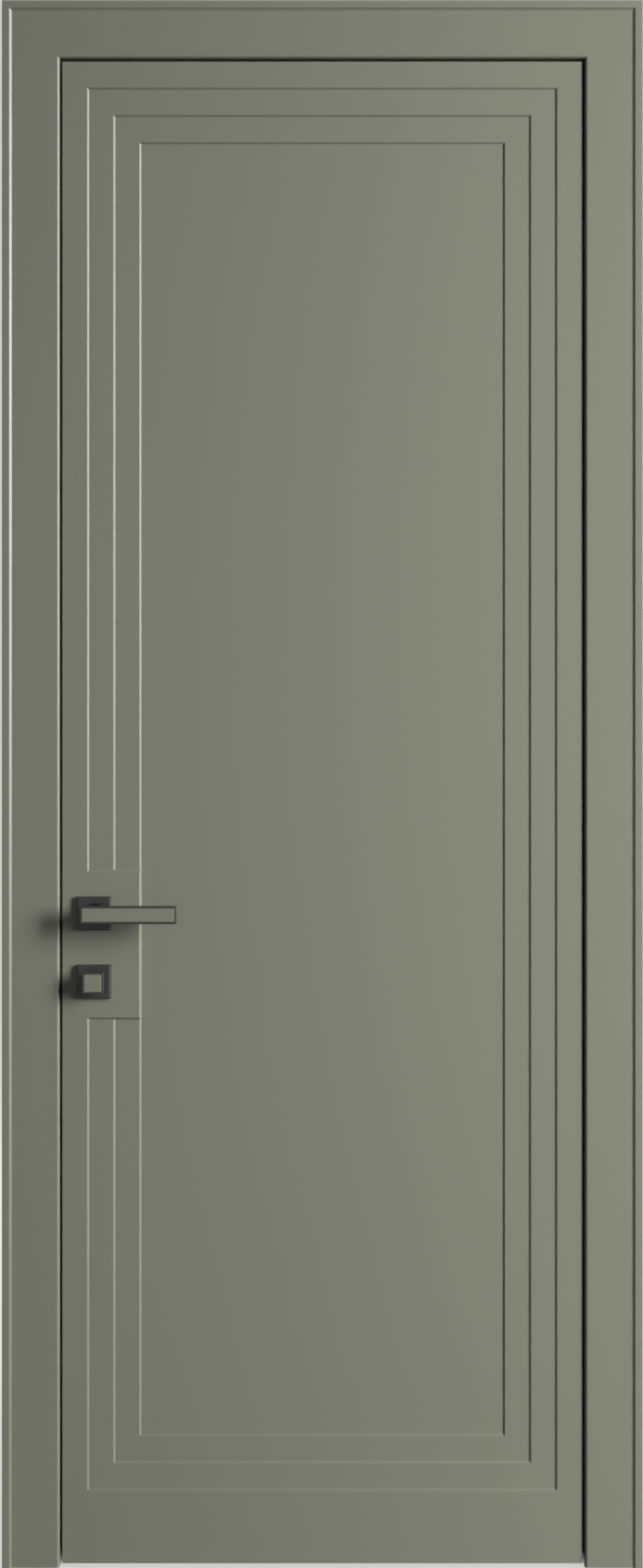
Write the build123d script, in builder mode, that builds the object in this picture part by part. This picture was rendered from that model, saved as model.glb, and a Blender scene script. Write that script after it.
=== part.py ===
from build123d import *
import os
from math import atan2, cos, degrees, hypot, radians, sin

# An interior door with its frame, in millimetres. The pull side faces -Y, the hinges are towards +X
# and +Z is up. The origin is on the floor, under the middle of the closed leaf.

os.makedirs("parts", exist_ok=True)

# Cuts run past the surface that they open by this much
overrun = 1.0

# Leaf: two milled skins on a frame of stiles and rails round a tubular core
leaf_width = 800.0
leaf_height = 2310.0
leaf_thickness = 50.0
skin_thickness = 14.0
stile_width = 120.0
rail_height = 120.0
core_tube_radius = 7.0
core_tube_pitch = 28.0

# Stepped recess in both faces, each step deeper than the one outside it, and the pad left for the handles
step_count = 3
step_depth = 2.0
step_bevel_width = 2.5
step_bevel_depth = 1.8
stile_step = 40.0
rail_step = 41.4
bottom_border = 113.0
pad_above_lever = 66.0
pad_below_turn = 58.0

# Frame: boards with a stop planted on them
floor_gap = 5.0
leaf_gap = 3.5
jamb_thickness = 35.0
jamb_depth = 80.0
stop_width = 13.0
anchor_radius = 4.0
anchor_head_radius = 8.0
anchor_end = 120.0
anchor_middle_span = 900.0

# Casing with a raised lip outside and a round inside, held by a tongue in the jamb
casing_width = 88.0
casing_thickness = 8.0
casing_proud = 5.0
casing_round = 4.5
lip_width = 11.0
lip_height = 2.4
lip_slope = 3.8
lip_round = 1.0
relief_depth = 1.5
relief_inner_edge = 6.0
relief_outer_edge = 10.0
tongue_thickness = 6.0
tongue_length = 9.0
tongue_inset = 23.0
tongue_play = 0.2

# Seal in a kerf of the stop, in three lengths that meet at the mitres
seal_space = 3.0
seal_clear = 0.3
seal_width = 6.0
kerf_width = 3.0
kerf_depth = 6.0
kerf_inset = 3.0
kerf_play = 0.15
seal_joint = 0.2

# Countersunk screws of the hinges, the strike and the forend
screw_radius = 2.0
screw_head_radius = 4.0
screw_length = 28.0
screw_play = 0.05
screw_angle = 90.0

# Concealed hinges: two arms crossed at a knee turn the leaf about a line in the gap, level with its face
hinge_end = 220.0
hinge_swing = 95.0
cup_height = 100.0
cup_width = 36.0
cup_depth = 15.0
cup_front = 6.0
cup_wall = 2.0
cup_corner = 8.0
cup_play = 0.1
cup_screw_offset = 38.0
pivot_inset = 8.0
pivot_depth = 17.0
tail_reach = 10.0
tail_rise = 3.0
arm_height = 13.0
arm_play = 0.4
arm_pivot_radius = 4.5
arm_knee_radius = 4.0
arm_tail_radius = 2.2
pivot_pin_radius = 2.5
pivot_play = 0.08
knee_pin_radius = 2.2
knee_play = 0.3
guide_pin_radius = 1.6
guide_play = 0.3
guide_depth = 4.0

# Mortice lock
backset = 50.0
lever_height = 1000.0
lock_centres = 105.0
forend_thickness = 3.0
forend_width = 20.0
forend_end = 65.0
forend_screw_end = 10.0
case_thickness = 16.0
case_wall = 1.5
case_behind = 30.0
case_end = 42.0
case_play = 0.2
layer_play = 0.5
bolt_play = 0.3
bolt_round = 1.5
latch_thickness = 11.0
latch_height = 22.0
latch_length = 28.0
latch_tail_height = 10.0
latch_tail_length = 9.0
follower_radius = 9.0
nose_length = 15.0
nose_width = 7.0
nose_angle = 135.0
deadbolt_thickness = 11.0
deadbolt_height = 26.0
deadbolt_length = 24.0
deadbolt_tail_thickness = 4.5
deadbolt_tail_above = 15.0
deadbolt_tail_below = 11.0
deadbolt_tail_end = 23.0
cam_hub_radius = 6.0
cam_radius = 11.0
cam_pin_orbit = 8.5
cam_pin_radius = 2.0
cam_pin_play = 0.6
turn_angle = 90.0
running_play = 0.08

# Strike in the lock jamb
strike_thickness = 2.0
strike_width = 20.0
strike_end = 45.0
strike_screw_end = 11.0
strike_play = 1.0
strike_corner = 3.0
strike_box_depth = 18.0
strike_box_wall = 1.5
strike_box_play = 0.2
magnet_depth = 7.0

# Rosettes
rosette_size = 52.0
rosette_thickness = 8.0
rosette_wall = 1.5
rosette_chamfer = 2.0
base_thickness = 5.0
base_play = 0.3
bush_radius = 15.2
bush_clear = 0.3
cover_play = 0.3
rosette_bolt_radius = 2.0
rosette_bolt_head_radius = 3.5
rosette_bolt_head_height = 2.0
rosette_bolt_span = 38.0
rosette_bolt_play = 0.05
bolt_bore_radius = 3.0
handle_bore_radius = 10.5

# Lever
lever_reach = 48.0
lever_tip = 129.0
lever_heel = 17.5
lever_bar_height = 27.0
lever_bar_thickness = 12.0
lever_edge = 1.2
lever_corner = 1.5
neck_width = 21.0
neck_height = 24.0
neck_corner = 4.0
neck_clear = 0.5
journal_radius = 9.0
spindle_size = 8.0
spindle_play = 0.05
spindle_engagement = 26.0
grub_radius = 3.0
grub_length = 6.0
inlay_border = 3.2
inlay_thickness = 2.0
inlay_proud = 0.4
inlay_play = 0.05
inlay_edge = 0.35

# Turn on the pull side and coin release on the other side
turn_reach = 30.0
turn_size = 33.0
turn_thickness = 14.0
turn_corner = 1.5
turn_journal_radius = 8.0
turn_spindle_size = 6.0
release_radius = 10.0
release_height = 2.5
release_slot_width = 2.2
release_slot_length = 15.0
release_slot_depth = 1.4
release_slot_angle = 90.0
release_socket = 7.0
release_edge = 0.6

# Places that follow from the sizes
leaf_bottom = floor_gap
leaf_top = floor_gap + leaf_height
leaf_middle = (leaf_bottom + leaf_top) / 2
half_leaf = leaf_width / 2
half_thickness = leaf_thickness / 2
lock_edge = -half_leaf
axis_x = lock_edge + backset
lever_z = leaf_bottom + lever_height
turn_z = lever_z - lock_centres
core_thickness = leaf_thickness - 2 * skin_thickness
casing_face = -half_thickness - casing_proud
jamb_front = casing_face + casing_thickness
jamb_rear = jamb_front + jamb_depth
jamb_middle = (jamb_front + jamb_rear) / 2
stop_face = half_thickness + seal_space
rebate_x = half_leaf + leaf_gap
hinge_x = half_leaf + leaf_gap / 2
hinge_y = -half_thickness
hinge_levels = {
    "bottom": leaf_bottom + hinge_end,
    "middle": leaf_middle,
    "top": leaf_top - hinge_end,
}

# Planes: the two faces of the leaf, looking out of it, and the sections and mitres of the frame
front_face = Plane(origin=(0, -half_thickness, 0), x_dir=(1, 0, 0), z_dir=(0, -1, 0))
back_face = Plane(origin=(0, half_thickness, 0), x_dir=(-1, 0, 0), z_dir=(0, 1, 0))
lock_section = Plane(origin=(-half_leaf, 0, 0), x_dir=(-1, 0, 0), z_dir=(0, 0, -1))
hinge_section = Plane(origin=(half_leaf, 0, 0), x_dir=(1, 0, 0), z_dir=(0, 0, 1))
head_section = Plane(origin=(0, 0, leaf_top), x_dir=(0, 0, 1), z_dir=(-1, 0, 0))
lock_mitre = Plane(origin=(-half_leaf, 0, leaf_top), z_dir=(1, 0, 1))
hinge_mitre = Plane(origin=(half_leaf, 0, leaf_top), z_dir=(-1, 0, 1))
frame_middle = Plane(origin=(0, jamb_middle, 0), z_dir=(0, 1, 0))


def save(builder, name):
    """Label a finished piece and write it to its own file."""
    builder.part.label = name
    export_step(builder.part, f"parts/{name}.step")


def countersunk_screws(places, out_of, length):
    """Return a group of countersunk screws with their heads at the places, facing out_of."""
    with BuildPart() as screws:
        for place in places:
            with Locations(Plane(origin=place, z_dir=out_of)):
                Cylinder(screw_radius, length, align=(Align.CENTER, Align.CENTER, Align.MAX))
                Cone(
                    screw_radius,
                    screw_head_radius,
                    screw_head_radius - screw_radius,
                    align=(Align.CENTER, Align.CENTER, Align.MAX),
                )
    return screws.part


# Seats of the hinge cups with the holes of their screws, cut out of the jamb and, mirrored, out of the leaf
cup_middle_y = hinge_y + cup_front + cup_width / 2
cup_screw_levels = [
    level + side * cup_screw_offset for level in hinge_levels.values() for side in (-1, 1)
]

with BuildPart() as frame_cup_seats:
    for level in hinge_levels.values():
        with BuildSketch(Plane(origin=(rebate_x, cup_middle_y, level), x_dir=(0, 1, 0), z_dir=(1, 0, 0))):
            RectangleRounded(cup_width + 2 * cup_play, cup_height + 2 * cup_play, cup_corner + cup_play)
        extrude(amount=cup_depth)
    for level in cup_screw_levels:
        with Locations(Plane(origin=(rebate_x, cup_middle_y, level), z_dir=(-1, 0, 0))):
            Cylinder(
                screw_radius + screw_play,
                screw_length + screw_play,
                align=(Align.CENTER, Align.CENTER, Align.MAX),
            )

leaf_cup_seats = frame_cup_seats.part.mirror(Plane(origin=(hinge_x, 0, 0), z_dir=(1, 0, 0)))

# Bores of the handles and their bolts, right through the leaf
rosette_bolt_places = [
    (axis_x, level + side * rosette_bolt_span / 2) for level in (lever_z, turn_z) for side in (-1, 1)
]

with BuildPart() as handle_bores:
    with BuildSketch(Plane.XZ):
        with Locations((axis_x, lever_z), (axis_x, turn_z)):
            Circle(handle_bore_radius)
        with Locations(*rosette_bolt_places):
            Circle(bolt_bore_radius)
    extrude(amount=half_thickness + overrun, both=True)

# Leaf skins: the recess steps down towards the middle, and the pad stands at the level of the border.
# A step is measured to the middle of its bevel.
bevel_angle = degrees(atan2(step_bevel_width, step_bevel_depth))
recess_sizes = [
    (
        leaf_width - 2 * (step + 1) * stile_step,
        leaf_bottom + bottom_border + step * rail_step,
        leaf_top - (step + 1) * rail_step,
    )
    for step in range(step_count)
]
pad_width = step_count * stile_step + step_bevel_width / 2
pad_bottom = turn_z - pad_below_turn
pad_top = lever_z + pad_above_lever
pad_place = (lock_edge + pad_width / 2, (pad_bottom + pad_top) / 2)

with BuildPart() as milled_skin:
    with BuildSketch(front_face):
        with Locations((0, leaf_middle)):
            Rectangle(leaf_width, leaf_height)
    extrude(amount=-skin_thickness)
    for step, (width, low, high) in enumerate(recess_sizes):
        with BuildSketch(front_face.offset(-step * step_depth)):
            with Locations((0, (low + high) / 2)):
                Rectangle(width + step_bevel_width, high - low + step_bevel_width)
        extrude(amount=-step_bevel_depth, taper=bevel_angle, mode=Mode.SUBTRACT)
        with BuildSketch(front_face.offset(-step * step_depth)):
            with Locations((0, (low + high) / 2)):
                Rectangle(width - step_bevel_width, high - low - step_bevel_width)
        extrude(amount=-step_depth, mode=Mode.SUBTRACT)
    with BuildSketch(front_face.offset(-skin_thickness)):
        with Locations(pad_place):
            Rectangle(pad_width, pad_top - pad_bottom)
    extrude(amount=skin_thickness - step_bevel_depth)
    with BuildSketch(front_face.offset(-step_bevel_depth)):
        with Locations(pad_place):
            Rectangle(pad_width, pad_top - pad_bottom)
    extrude(amount=step_bevel_depth, taper=bevel_angle)
    add(handle_bores.part, mode=Mode.SUBTRACT)

with BuildPart() as leaf_front_skin:
    add(milled_skin.part)
    add(leaf_cup_seats, mode=Mode.SUBTRACT)
save(leaf_front_skin, "leaf_front_skin")

with BuildPart() as leaf_back_skin:
    mirror(milled_skin.part, about=Plane.XZ)
    add(leaf_cup_seats, mode=Mode.SUBTRACT)
save(leaf_back_skin, "leaf_back_skin")

# Stiles, rails and tubular core between the skins
inner_width = leaf_width - 2 * stile_width
core_height = leaf_height - 2 * rail_height
case_front = lock_edge + forend_thickness
case_back = axis_x + case_behind
case_middle_x = (case_front + case_back) / 2
case_depth = case_back - case_front
lock_middle = (lever_z + turn_z) / 2
case_height = lock_centres + 2 * case_end
forend_height = lock_centres + 2 * forend_end
forend_screw_places = [
    (lock_edge, 0, lock_middle + side * (forend_height / 2 - forend_screw_end)) for side in (-1, 1)
]

with BuildPart() as leaf_lock_stile:
    with BuildSketch(Plane.XY.offset(leaf_bottom)):
        with Locations((lock_edge + stile_width / 2, 0)):
            Rectangle(stile_width, core_thickness)
    extrude(amount=leaf_height)
    with BuildSketch(Plane.XZ):
        with Locations((case_middle_x, lock_middle)):
            Rectangle(case_depth + 2 * case_play, case_height + 2 * case_play)
    extrude(amount=case_thickness / 2 + case_play, both=True, mode=Mode.SUBTRACT)
    with BuildSketch(Plane.XZ):
        with Locations((lock_edge + forend_thickness / 2, lock_middle)):
            Rectangle(forend_thickness, forend_height)
    extrude(amount=forend_width / 2, both=True, mode=Mode.SUBTRACT)
    for place in forend_screw_places:
        with Locations(Plane(origin=place, z_dir=(-1, 0, 0))):
            Hole(screw_radius + screw_play, depth=screw_length + screw_play)
    add(handle_bores.part, mode=Mode.SUBTRACT)
save(leaf_lock_stile, "leaf_lock_stile")

with BuildPart() as leaf_hinge_stile:
    with BuildSketch(Plane.XY.offset(leaf_bottom)):
        with Locations((half_leaf - stile_width / 2, 0)):
            Rectangle(stile_width, core_thickness)
    extrude(amount=leaf_height)
    add(leaf_cup_seats, mode=Mode.SUBTRACT)
save(leaf_hinge_stile, "leaf_hinge_stile")

with BuildPart() as leaf_bottom_rail:
    with BuildSketch(Plane.XY.offset(leaf_bottom)):
        Rectangle(inner_width, core_thickness)
    extrude(amount=rail_height)
save(leaf_bottom_rail, "leaf_bottom_rail")

with BuildPart() as leaf_top_rail:
    with BuildSketch(Plane.XY.offset(leaf_top)):
        Rectangle(inner_width, core_thickness)
    extrude(amount=-rail_height)
save(leaf_top_rail, "leaf_top_rail")

core_tubes = round(inner_width / core_tube_pitch)

with BuildPart() as leaf_core:
    with BuildSketch(Plane.XY.offset(leaf_bottom + rail_height)):
        Rectangle(inner_width, core_thickness)
        with GridLocations(core_tube_pitch, 0, core_tubes, 1):
            Circle(core_tube_radius, mode=Mode.SUBTRACT)
    extrude(amount=core_height)
save(leaf_core, "leaf_core")


def jamb_section(plane):
    """Return the jamb board's section: x runs outwards from the leaf's edge, y through the wall."""
    with BuildSketch(plane) as section:
        with Locations((leaf_gap, jamb_front)):
            Rectangle(jamb_thickness, jamb_depth, align=(Align.MIN, Align.MIN))
        groove = (tongue_thickness + 2 * tongue_play, tongue_length + tongue_play)
        with Locations((leaf_gap + tongue_inset, jamb_front)):
            Rectangle(*groove, align=(Align.CENTER, Align.MIN), mode=Mode.SUBTRACT)
        with Locations((leaf_gap + tongue_inset, jamb_rear)):
            Rectangle(*groove, align=(Align.CENTER, Align.MAX), mode=Mode.SUBTRACT)
    return section.sketch


def stop_section(plane):
    """Return the section of the stop planted on the jamb, with the kerf for the seal."""
    with BuildSketch(plane) as section:
        with Locations((leaf_gap, stop_face)):
            Rectangle(stop_width, jamb_rear - stop_face, align=(Align.MAX, Align.MIN))
        with Locations((-kerf_inset, stop_face)):
            Rectangle(kerf_width, kerf_depth, align=(Align.CENTER, Align.MIN), mode=Mode.SUBTRACT)
    return section.sketch


def seal_section(plane):
    """Return the seal's section: a bead that the leaf closes on, and a stem in the kerf."""
    seal_height = seal_space - seal_clear
    with BuildSketch(plane) as section:
        with BuildLine():
            ThreePointArc(
                (-kerf_inset - seal_width / 2, stop_face),
                (-kerf_inset, stop_face - seal_height),
                (-kerf_inset + seal_width / 2, stop_face),
            )
            Line((-kerf_inset + seal_width / 2, stop_face), (-kerf_inset - seal_width / 2, stop_face))
        make_face()
        with Locations((-kerf_inset, stop_face)):
            Rectangle(
                kerf_width - 2 * kerf_play,
                kerf_depth - kerf_play,
                align=(Align.CENTER, Align.MIN),
            )
    return section.sketch


def casing_section(plane):
    """Return the front casing's section, with its lip, round, back relief and tongue."""
    inner = leaf_gap
    outer = leaf_gap + casing_width
    lip_face = casing_face - lip_height
    with BuildSketch(plane) as section:
        with BuildLine():
            Line((outer, jamb_front), (inner, jamb_front))
            Line((inner, jamb_front), (inner, casing_face + casing_round))
            RadiusArc(
                (inner, casing_face + casing_round),
                (inner + casing_round, casing_face),
                -casing_round,
            )
            Polyline(
                (inner + casing_round, casing_face),
                (outer - lip_width - lip_slope, casing_face),
                (outer - lip_width, lip_face),
                (outer - lip_round, lip_face),
            )
            RadiusArc((outer - lip_round, lip_face), (outer, lip_face + lip_round), -lip_round)
            Line((outer, lip_face + lip_round), (outer, jamb_front))
        make_face()
        relief_start = inner + jamb_thickness + relief_inner_edge
        with Locations((relief_start, jamb_front)):
            Rectangle(
                outer - relief_outer_edge - relief_start,
                relief_depth,
                align=(Align.MIN, Align.MAX),
                mode=Mode.SUBTRACT,
            )
        with Locations((inner + tongue_inset, jamb_front)):
            Rectangle(tongue_thickness, tongue_length, align=(Align.CENTER, Align.MIN))
    return section.sketch


# Jambs, mitred at the head, with the strike's mortice, the hinge seats and the holes for the wall anchors
leg_length = leaf_top + leaf_gap + max(jamb_thickness, casing_width) + overrun
half_head = half_leaf + leaf_gap + max(jamb_thickness, casing_width) + overrun
anchor_middle = (leaf_top + leaf_gap) / 2
anchor_levels = [
    anchor_middle + side * span / 2
    for span in (leaf_top + leaf_gap - 2 * anchor_end, anchor_middle_span)
    for side in (-1, 1)
]
strike_bottom = turn_z - strike_end
strike_top = lever_z + strike_end
strike_height = strike_top - strike_bottom
strike_middle = (strike_top + strike_bottom) / 2
latch_hole = (latch_thickness + 2 * strike_play, latch_height + 2 * strike_play)
deadbolt_hole = (deadbolt_thickness + 2 * strike_play, deadbolt_height + 2 * strike_play)
strike_pockets = [(lever_z, *latch_hole), (turn_z, *deadbolt_hole)]
mortice_margin = strike_box_wall + strike_box_play
strike_face = Plane(origin=(-rebate_x, 0, 0), x_dir=(0, 1, 0), z_dir=(1, 0, 0))
strike_back = strike_face.offset(-strike_thickness)
strike_screw_places = [
    (-rebate_x, 0, strike_bottom + strike_screw_end),
    (-rebate_x, 0, strike_top - strike_screw_end),
]

with BuildPart() as lock_jamb:
    extrude(jamb_section(lock_section), amount=-leg_length)
    split(bisect_by=lock_mitre, keep=Keep.BOTTOM)
    for level in anchor_levels:
        with Locations(Plane(origin=(-rebate_x, 0, level), z_dir=(1, 0, 0))):
            CounterSinkHole(anchor_radius, anchor_head_radius, counter_sink_angle=screw_angle)
    with BuildSketch(strike_face):
        with Locations((0, strike_middle)):
            RectangleRounded(strike_width, strike_height, strike_corner)
    extrude(amount=-strike_thickness, mode=Mode.SUBTRACT)
    with BuildSketch(strike_back):
        for level, across, high in strike_pockets:
            with Locations((0, level)):
                Rectangle(across + 2 * mortice_margin, high + 2 * mortice_margin)
    extrude(amount=-strike_box_depth - strike_box_play, mode=Mode.SUBTRACT)
    for place in strike_screw_places:
        with Locations(Plane(origin=place, z_dir=(1, 0, 0))):
            Hole(screw_radius + screw_play, depth=screw_length + screw_play)
save(lock_jamb, "lock_jamb")

with BuildPart() as hinge_jamb:
    extrude(jamb_section(hinge_section), amount=leg_length)
    split(bisect_by=hinge_mitre, keep=Keep.BOTTOM)
    for level in anchor_levels:
        with Locations(Plane(origin=(rebate_x, 0, level), z_dir=(-1, 0, 0))):
            CounterSinkHole(anchor_radius, anchor_head_radius, counter_sink_angle=screw_angle)
    add(frame_cup_seats.part, mode=Mode.SUBTRACT)
save(hinge_jamb, "hinge_jamb")

with BuildPart() as head_jamb:
    extrude(jamb_section(head_section), amount=half_head, both=True)
    split(bisect_by=lock_mitre, keep=Keep.TOP)
    split(bisect_by=hinge_mitre, keep=Keep.TOP)
save(head_jamb, "head_jamb")

# Stops behind the leaf, mitred like the jambs
with BuildPart() as lock_stop:
    extrude(stop_section(lock_section), amount=-leg_length)
    split(bisect_by=lock_mitre, keep=Keep.BOTTOM)
save(lock_stop, "lock_stop")

with BuildPart() as hinge_stop:
    extrude(stop_section(hinge_section), amount=leg_length)
    split(bisect_by=hinge_mitre, keep=Keep.BOTTOM)
save(hinge_stop, "hinge_stop")

with BuildPart() as head_stop:
    extrude(stop_section(head_section), amount=half_head, both=True)
    split(bisect_by=lock_mitre, keep=Keep.TOP)
    split(bisect_by=hinge_mitre, keep=Keep.TOP)
save(head_stop, "head_stop")

# Casings: the front ones, and the rear ones as their mirror images through the middle of the jamb
with BuildPart() as front_casing_lock_side:
    extrude(casing_section(lock_section), amount=-leg_length)
    split(bisect_by=lock_mitre, keep=Keep.BOTTOM)
save(front_casing_lock_side, "front_casing_lock_side")

with BuildPart() as front_casing_hinge_side:
    extrude(casing_section(hinge_section), amount=leg_length)
    split(bisect_by=hinge_mitre, keep=Keep.BOTTOM)
save(front_casing_hinge_side, "front_casing_hinge_side")

with BuildPart() as front_casing_head:
    extrude(casing_section(head_section), amount=half_head, both=True)
    split(bisect_by=lock_mitre, keep=Keep.TOP)
    split(bisect_by=hinge_mitre, keep=Keep.TOP)
save(front_casing_head, "front_casing_head")

with BuildPart() as rear_casing_lock_side:
    mirror(front_casing_lock_side.part, about=frame_middle)
save(rear_casing_lock_side, "rear_casing_lock_side")

with BuildPart() as rear_casing_hinge_side:
    mirror(front_casing_hinge_side.part, about=frame_middle)
save(rear_casing_hinge_side, "rear_casing_hinge_side")

with BuildPart() as rear_casing_head:
    mirror(front_casing_head.part, about=frame_middle)
save(rear_casing_head, "rear_casing_head")

# Seal: one length up the lock side, one over the head and one down the hinge side
with BuildPart() as lock_seal:
    extrude(seal_section(lock_section), amount=-leg_length)
    split(bisect_by=lock_mitre.offset(-seal_joint / 2), keep=Keep.BOTTOM)

with BuildPart() as hinge_seal:
    extrude(seal_section(hinge_section), amount=leg_length)
    split(bisect_by=hinge_mitre.offset(-seal_joint / 2), keep=Keep.BOTTOM)

with BuildPart() as head_seal:
    extrude(seal_section(head_section), amount=half_head, both=True)
    split(bisect_by=lock_mitre.offset(seal_joint / 2), keep=Keep.TOP)
    split(bisect_by=hinge_mitre.offset(seal_joint / 2), keep=Keep.TOP)

with BuildPart() as frame_seal:
    add(lock_seal.part)
    add(hinge_seal.part)
    add(head_seal.part)
save(frame_seal, "frame_seal")

# Strike: a plate let into the jamb, a box behind it for each bolt, and the magnet of the latch
with BuildPart() as strike_plate:
    with BuildSketch(strike_face):
        with Locations((0, strike_middle)):
            RectangleRounded(strike_width, strike_height, strike_corner)
        for level, across, high in strike_pockets:
            with Locations((0, level)):
                Rectangle(across, high, mode=Mode.SUBTRACT)
    extrude(amount=-strike_thickness)
    for place in strike_screw_places:
        with Locations(Plane(origin=place, z_dir=(1, 0, 0))):
            CounterSinkHole(
                screw_radius + screw_play,
                screw_head_radius + screw_play,
                counter_sink_angle=screw_angle,
            )
save(strike_plate, "strike_plate")

with BuildPart() as strike_boxes:
    with BuildSketch(strike_back):
        for level, across, high in strike_pockets:
            with Locations((0, level)):
                Rectangle(across + 2 * strike_box_wall, high + 2 * strike_box_wall)
    extrude(amount=-strike_box_depth)
    with BuildSketch(strike_back):
        for level, across, high in strike_pockets:
            with Locations((0, level)):
                Rectangle(across, high)
    extrude(amount=-strike_box_depth + strike_box_wall, mode=Mode.SUBTRACT)
save(strike_boxes, "strike_boxes")

with BuildPart() as strike_magnet:
    with BuildSketch(strike_back.offset(-strike_box_depth + strike_box_wall)):
        with Locations((0, lever_z)):
            Rectangle(latch_hole[0] - 2 * strike_box_play, latch_hole[1] - 2 * strike_box_play)
    extrude(amount=magnet_depth)
save(strike_magnet, "strike_magnet")

with BuildPart() as strike_screws:
    add(countersunk_screws(strike_screw_places, (1, 0, 0), screw_length))
save(strike_screws, "strike_screws")

# Mortice lock: forend and case
with BuildPart() as lock_forend:
    with BuildSketch(Plane.XZ):
        with Locations((lock_edge + forend_thickness / 2, lock_middle)):
            Rectangle(forend_thickness, forend_height)
    extrude(amount=forend_width / 2, both=True)
    with BuildSketch(Plane(origin=(lock_edge, 0, 0), x_dir=(0, 1, 0), z_dir=(1, 0, 0))):
        with Locations((0, lever_z)):
            Rectangle(latch_thickness + 2 * bolt_play, latch_height + 2 * bolt_play)
        with Locations((0, turn_z)):
            Rectangle(deadbolt_thickness + 2 * bolt_play, deadbolt_height + 2 * bolt_play)
    extrude(amount=forend_thickness, mode=Mode.SUBTRACT)
    for place in forend_screw_places:
        with Locations(Plane(origin=place, z_dir=(-1, 0, 0))):
            CounterSinkHole(
                screw_radius + screw_play,
                screw_head_radius + screw_play,
                counter_sink_angle=screw_angle,
            )
save(lock_forend, "lock_forend")

with BuildPart() as forend_screws:
    add(countersunk_screws(forend_screw_places, (-1, 0, 0), screw_length))
save(forend_screws, "forend_screws")

with BuildPart() as lock_case:
    with BuildSketch(Plane.XZ):
        with Locations((case_middle_x, lock_middle)):
            Rectangle(case_depth, case_height)
    extrude(amount=case_thickness / 2, both=True)
    with BuildSketch(Plane.XZ):
        with Locations((case_middle_x, lock_middle)):
            Rectangle(case_depth - 2 * case_wall, case_height - 2 * case_wall)
    extrude(amount=case_thickness / 2 - case_wall, both=True, mode=Mode.SUBTRACT)
    with BuildSketch(Plane(origin=(case_front, 0, 0), x_dir=(0, 1, 0), z_dir=(1, 0, 0))):
        with Locations((0, lever_z)):
            Rectangle(latch_thickness + 2 * bolt_play, latch_height + 2 * bolt_play)
        with Locations((0, turn_z)):
            Rectangle(deadbolt_thickness + 2 * bolt_play, deadbolt_height + 2 * bolt_play)
    extrude(amount=case_wall + overrun, mode=Mode.SUBTRACT)
    with BuildSketch(Plane.XZ):
        with Locations((axis_x, lever_z)):
            Circle(follower_radius + running_play)
        with Locations((axis_x, turn_z)):
            Circle(cam_hub_radius + running_play)
        with Locations(*rosette_bolt_places):
            Circle(rosette_bolt_radius + rosette_bolt_play)
    extrude(amount=case_thickness / 2 + overrun, both=True, mode=Mode.SUBTRACT)
save(lock_case, "lock_case")

# Latch bolt, drawn in, and the follower that the lever turns, whose nose runs beside the latch's tail
half_inside = case_thickness / 2 - case_wall

with BuildPart() as latch_bolt:
    with BuildSketch(Plane.XZ):
        with Locations((lock_edge + latch_length / 2, lever_z)):
            Rectangle(latch_length, latch_height)
    extrude(amount=latch_thickness / 2, both=True)
    fillet(latch_bolt.faces().sort_by(Axis.X)[0].edges(), bolt_round)
    with BuildSketch(Plane.XZ.offset(-layer_play)):
        with Locations((lock_edge + latch_length, lever_z)):
            Rectangle(latch_tail_length, latch_tail_height, align=(Align.MIN, Align.CENTER))
    extrude(amount=layer_play - latch_thickness / 2)
save(latch_bolt, "latch_bolt")

with BuildPart() as lock_follower:
    with BuildSketch(Plane.XZ):
        with Locations((axis_x, lever_z)):
            Circle(follower_radius)
    extrude(amount=case_thickness / 2, both=True)
    with BuildSketch(Plane.XZ.offset(layer_play)):
        with Locations(Location((axis_x, lever_z, 0), nose_angle)):
            Rectangle(nose_length, nose_width, align=(Align.MIN, Align.CENTER))
    extrude(amount=half_inside - 2 * layer_play)
    with BuildSketch(Plane.XZ):
        with Locations((axis_x, lever_z)):
            Rectangle(spindle_size + 2 * spindle_play, spindle_size + 2 * spindle_play)
    extrude(amount=case_thickness / 2 + overrun, both=True, mode=Mode.SUBTRACT)
save(lock_follower, "lock_follower")

# Deadbolt, drawn in, and the cam whose pin slides it as the turn goes round
half_turn = radians(turn_angle / 2)
pin_offset = cam_pin_orbit * sin(half_turn)
deadbolt_throw = 2 * pin_offset
hub_window = cam_hub_radius + layer_play
pin_slot = 2 * (cam_pin_radius + cam_pin_play)
tail_plane = Plane.XZ.offset(deadbolt_thickness / 2)
disc_plane = Plane.XZ.offset(deadbolt_thickness / 2 - deadbolt_tail_thickness - layer_play)
tail_start = lock_edge + deadbolt_length

with BuildPart() as deadbolt:
    with BuildSketch(Plane.XZ):
        with Locations((lock_edge + deadbolt_length / 2, turn_z)):
            Rectangle(deadbolt_length, deadbolt_height)
    extrude(amount=deadbolt_thickness / 2, both=True)
    fillet(deadbolt.faces().sort_by(Axis.X)[0].edges(), bolt_round)
    with BuildSketch(tail_plane):
        with Locations((tail_start, turn_z - deadbolt_tail_below)):
            Rectangle(
                axis_x + deadbolt_tail_end - tail_start,
                deadbolt_tail_below + deadbolt_tail_above,
                align=(Align.MIN, Align.MIN),
            )
        with Locations((axis_x - hub_window, turn_z)):
            Rectangle(
                2 * hub_window + deadbolt_throw,
                2 * hub_window,
                align=(Align.MIN, Align.CENTER),
                mode=Mode.SUBTRACT,
            )
        with Locations((axis_x + pin_offset, turn_z)):
            Rectangle(
                pin_slot,
                cam_pin_orbit + pin_slot / 2,
                align=(Align.CENTER, Align.MIN),
                mode=Mode.SUBTRACT,
            )
    extrude(amount=-deadbolt_tail_thickness)
save(deadbolt, "deadbolt")

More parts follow.
